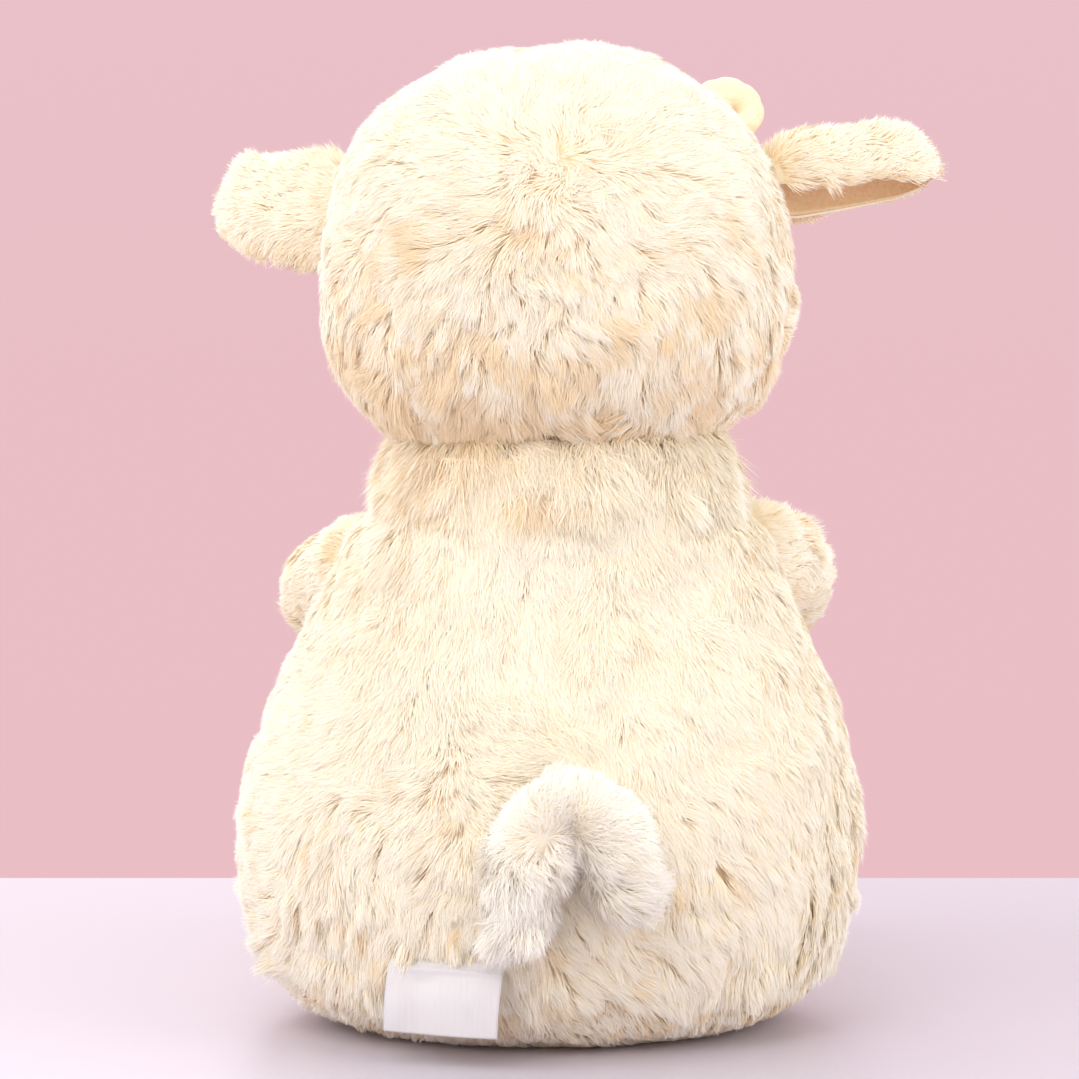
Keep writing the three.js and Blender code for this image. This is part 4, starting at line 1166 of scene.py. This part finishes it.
def buildLimb(kind, side, name):
    form = limbs[kind]
    places = limbPlaces(form, side)
    node = name.lower()
    bodyName = kind + "_" + node
    hoofStart = limbForm["hoofStart"]

    def limbFlow(points, facing):
        t = np.clip((places[0][1] - points[:, 1]) / (places[0][1] - places[2][1]), 0, 1)
        way = np.array([curveWay(places, value) for value in t])
        way = turnAbout(way, facing, drifts(points, *limbForm["swirls"]))
        lift = 1 + 0.25 * drift(points, 16, 53) + form["raised"][side] * rise(facing[:, 2], 0.1, 0.8)
        lift = lift * (1 - 0.7 * rise(t, hoofStart - 0.25, hoofStart))
        size = 0.95 + 0.12 * drift(points, 20, 54)
        return way, lift, size, 0.3 * drift(points, 26, 55) + 0.1, np.ones(len(points))

    def clearOfBody(points, facing):
        return (points - places[0]) @ curveWay(places, 0) > limbForm["rootHidden"]

    cover = limbRows(places, form, limbForm["pileDepth"], 0, hoofStart + limbForm["hoofOverlap"])
    skin = gridObject(kind + "Skin" + name, cover, capEnds=True)
    pile = {**limbForm["pile"], **form, "seed": limbForm["seed"] + side}
    piece = growPile(kind + "Cover" + name, skin, pile, limbFlow, clearOfBody)
    stuffed(piece, bodyName, "fur_cloth", kind + "_cover_" + node)

    hoof = limbRows(places, form, limbForm["hoofDepth"], hoofStart, 1)
    # A sewn cleft divides the hoof's end
    end = curvePoint(places, 1)
    forward = (hoof - end) @ curveWay(places, 1)
    cleft = bell(hoof[..., 0] - end[0], limbForm["cleftWidth"]) * rise(forward, -6, 8) * limbForm["cleft"]
    tip = gridObject(kind + "Hoof" + name, hoof - unit(hoof - end) * cleft[..., None], capEnds=True)
    stuffed(tip, bodyName, "smooth_cloth", kind + "_hoof_" + node)
    inside = limbRows(places, form, limbForm["fillingDepth"], 0, 1, limbForm["steps"] // 2)[:, ::2]
    filling = gridObject(kind + "Stuffing" + name, inside)
    stuffed(filling, bodyName, "fibre_filling", kind + "_stuffing_" + node)


for kind in limbs:
    for side, name in sideNames.items():
        buildLimb(kind, side, name)
print("arms and legs done")


# Tail: two lobes of long white pile that part from one root

tail = {
    "root": 12, "places": ((4.5, 9.5, 76), (14, 9.5, 68), (15, 9.5, 44.5)), "shares": (1, 1, 1, 0.95, 0.8),
    "lifts": {toyLeft: (0, 0, 0), toyRight: (0, 2, 10)}, "shift": -6, "crest": (1.2, 96, 69),
    "steps": 18, "rounding": 1.0, "pileDepth": 3.4, "fillingDepth": 7.0, "remesh": 0.0016, "intoBody": 1.0,
    "pile": {"density": 850, "length": 12, "wrap": 60, "height": 5.2, "lean": 0.84, "bow": 0.08, "curl": 0.7,
             "width": 0.28, "stray": 0.36, "seed": 75, "most": 60000,
             "tufts": ((8.0, 0.16, 0.28, 0.14), (3.2, 0.14, 0.2, 0.3))},
}


def tailPlaces(side):
    return [np.array([tail["shift"] + out * side, body["backFlat"] + back, high + lift])
            for (out, back, high), lift in zip(tail["places"], tail["lifts"][side])]


def tailForm(name, depth):
    lobes = []
    for side, sideName in sideNames.items():
        rows = limbRows(tailPlaces(side), tail, depth, 0, 1, tail["steps"], tail["rounding"])
        lobes.append(gridObject(name + sideName, rows))
    selectOnly(lobes[0])
    lobes[1].select_set(True)
    bpy.ops.object.join()
    made = bpy.context.active_object
    made.name = made.data.name = name
    voxels = made.modifiers.new("oneSkin", "REMESH")
    voxels.mode = "VOXEL"
    voxels.voxel_size = tail["remesh"]
    voxels.use_smooth_shade = True
    bpy.ops.object.modifier_apply(modifier=voxels.name)
    points, _, _ = meshArrays(made)
    points[:, 1] = np.maximum(points[:, 1], body["backFlat"] - body["pileDepth"] + tail["intoBody"])
    return setPoints(made, points)


def tailFlow(points, facing):
    # The pile lies over the crest and hangs from both lobes
    fromCrest = points - np.array(tail["crest"], float)
    distance = np.linalg.norm(fromCrest, axis=1)
    gap = np.abs(points[:, 0] - tail["shift"])
    above = rise(fromCrest[:, 2], -5, 5)
    right = rise(-points[:, 0], -tail["shift"], 6 - tail["shift"])
    way = np.tile(-up, (len(points), 1))
    way[:, 0] += 0.03 * fromCrest[:, 0] - right * (0.3 + 0.9 * rise(fromCrest[:, 2], -25, -5))
    way = blendWays(unit(way), unit(fromCrest), above)
    centre = bell(distance, 9)
    way = turnAbout(unit(way), facing, 0.35 * drift(points, 18, 71) + 1.4 * centre * drift(points, 6, 75))
    lift = 1 + 0.3 * drift(points, 12, 72) - 0.3 * above
    size = 0.95 + 0.15 * drift(points, 16, 73) - 0.2 * bell(gap, 6) - 0.35 * above
    return way, lift, size, 0.25 * drift(points, 14, 74) + 0.5 * centre - 0.2 * above, 0.9 - 0.5 * above


cover = growPile("tailCover", tailForm("tailSkin", tail["pileDepth"]), tail["pile"], tailFlow)
stuffed(cover, "tail", "tail_fur", "tail_cover")
stuffed(tailForm("tailStuffing", tail["fillingDepth"]), "tail", "fibre_filling", "tail_stuffing")
print("tail done")


# Care label: a bare satin strip that hangs from the base seam to the table

label = {
    "places": ((29, 73.7, 31), (31.5, 81.5, 27.5), (32, 81.5, 9.5)), "halfWidth": 18, "thick": 0.35,
    "rows": 60, "columns": 40, "wave": 1.0, "lowest": 0.6,
    # Each fold: its place across and along, its width and height, and its depth
    "folds": ((-0.2, 0.30, 0.9, 0.045, 0.9), (0.35, 0.48, 0.3, 0.14, -1.3),
              (-0.45, 0.62, 0.25, 0.2, 0.9), (0.75, 0.8, 0.2, 0.2, 0.8)),
}


def buildLabel():
    places = label["places"]
    across = unit(np.array([places[0][1], -places[0][0], 0.0]))
    wide = np.linspace(-1, 1, label["columns"])
    grid = np.zeros((label["rows"], label["columns"], 3))
    normals = np.zeros_like(grid)
    for i, t in enumerate(np.linspace(0, 1, label["rows"])):
        normal = unit(np.cross(across, curveWay(places, t)))
        ripple = label["wave"] * np.sin(wide * 2.2 + 0.6 + 1.5 * t) * t
        for side, low, width, height, depth in label["folds"]:
            ripple += depth * np.exp(-((wide - side) / width) ** 2 - ((t - low) / height) ** 2)
        middle = curvePoint(places, t)
        grid[i] = middle + across * (wide * label["halfWidth"])[:, None] + normal * ripple[:, None]
        normals[i] = normal
    grid[..., 2] = np.maximum(grid[..., 2], label["lowest"])
    half = normals * label["thick"] / 2
    made = shellObject("careLabel", grid + half, grid - half)
    fitted(made, "label", "label_satin", "care_label")


buildLabel()

# The neck's gathering thread and the eye washers keep their solids
washerLook, _, _ = newMaterial("washerPlastic", {"Roughness": 0.45, "Base Color": (0.75, 0.76, 0.77, 1)})
for nodeName, look in (("neck_seam_thread", neckThreadLook),
                       ("eye_washer_left", washerLook), ("eye_washer_right", washerLook)):
    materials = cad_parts[nodeName].data.materials
    materials.clear()
    materials.append(look)
print("label and small parts done")


# Table, backdrop, lights and camera

stand = {
    "far": 0.25, "near": 3.0, "halfWidth": 3.0,
    "look": {"Roughness": 0.35, "Specular IOR Level": 0.3, "Base Color": (0.585, 0.54, 0.62, 1)},
}
backdrop = {"top": (0.82, 0.54, 0.59, 1), "bottom": (0.82, 0.515, 0.55, 1)}
softLight = {"bottom": (0.74, 0.67, 0.6, 1), "top": (1.14, 1.12, 1.1, 1), "strength": 0.86}
lampAim = (0, 0, 0.15)
# Place, size, power and colour of each lamp
lamps = {
    "keyLamp": ((0.9, 1.3, 1.7), 2.0, 19, (1, 0.985, 0.97)),
    "fillLamp": ((-1.5, 0.7, 0.8), 1.3, 11, (1, 1, 1)),
    "sideLamp": ((1.6, 0.2, 0.9), 1.3, 7, (1, 1, 1)),
    "frontLamp": ((0.4, -1.5, 1.2), 1.4, 12, (1, 1, 1)),
}
photoView = {
    "lens": 250, "sensor": 36, "elevation": math.radians(7), "target": (2.85, 0, 145.1), "frameWidth": 323.7,
    "clip": (0.01, 50),
}


def buildTable():
    bpy.ops.object.select_all(action="DESELECT")
    bpy.ops.mesh.primitive_plane_add(size=1)
    table = bpy.context.active_object
    table.name = "table"
    depth = stand["near"] + stand["far"]
    table.data.transform(Matrix.Translation((0, stand["near"] - depth / 2, 0))
                         @ Matrix.Diagonal((stand["halfWidth"] * 2, depth, 1, 1)))
    table.data.materials.append(newMaterial("tableTop", stand["look"])[0])


def buildWorld():
    # The camera and gloss see the wall, and the rest of the light is soft and white
    world = bpy.data.worlds.new("studio")
    bpy.context.scene.world = world
    world.use_nodes = True
    tree = world.node_tree
    tree.nodes.clear()
    ray = addNode(tree, "LightPath", {}).outputs
    seen = addNode(tree, "Math", {0: ray["Is Camera Ray"], 1: ray["Is Glossy Ray"]}, operation="MAXIMUM")
    place = addNode(tree, "TexCoord", {}).outputs["Generated"]
    high = addNode(tree, "SeparateXYZ", {"Vector": place}).outputs["Z"]
    wall = mixColours(tree, rangeOf(tree, high, -0.2, 0.05, 0, 1), backdrop["bottom"], backdrop["top"])
    soft = mixColours(tree, rangeOf(tree, high, -0.5, 0.6, 0, 1), softLight["bottom"], softLight["top"])
    wall = addNode(tree, "Background", {"Color": wall})
    soft = addNode(tree, "Background", {"Color": soft, "Strength": softLight["strength"]})
    mix = addNode(tree, "MixShader", {"Fac": seen.outputs[0], 1: soft.outputs[0], 2: wall.outputs[0]})
    addNode(tree, "OutputWorld", {"Surface": mix.outputs[0]})


def addLamp(name, place, size, power, colour):
    lamp = bpy.data.lights.new(name, "AREA")
    lamp.shape = "DISK"
    lamp.size = size
    lamp.energy = power
    lamp.color = colour
    aimFrom(name, lamp, Vector(place), Vector(lampAim) - Vector(place))


def aimFrom(name, data, place, way):
    made = bpy.data.objects.new(name, data)
    bpy.context.scene.collection.objects.link(made)
    made.location = place
    made.rotation_mode = "QUATERNION"
    made.rotation_quaternion = way.to_track_quat("-Z", "Y")
    return made


def buildCamera():
    data = bpy.data.cameras.new("photoCamera")
    data.lens = photoView["lens"]
    data.sensor_width = photoView["sensor"]
    data.clip_start, data.clip_end = photoView["clip"]
    distance = photoView["frameWidth"] * millimetre * photoView["lens"] / photoView["sensor"]
    back = Vector((0, math.cos(photoView["elevation"]), math.sin(photoView["elevation"])))
    place = Vector(photoView["target"]) * millimetre + back * distance
    bpy.context.scene.camera = aimFrom("photoCamera", data, place, -back)


buildTable()
buildWorld()
for name, values in lamps.items():
    addLamp(name, *values)
buildCamera()
bpy.context.scene.view_settings.view_transform = "Standard"
# Light that passes between pale hairs many times warms and fills the pile
bpy.context.scene.cycles.diffuse_bounces = 10
print("stage ready")
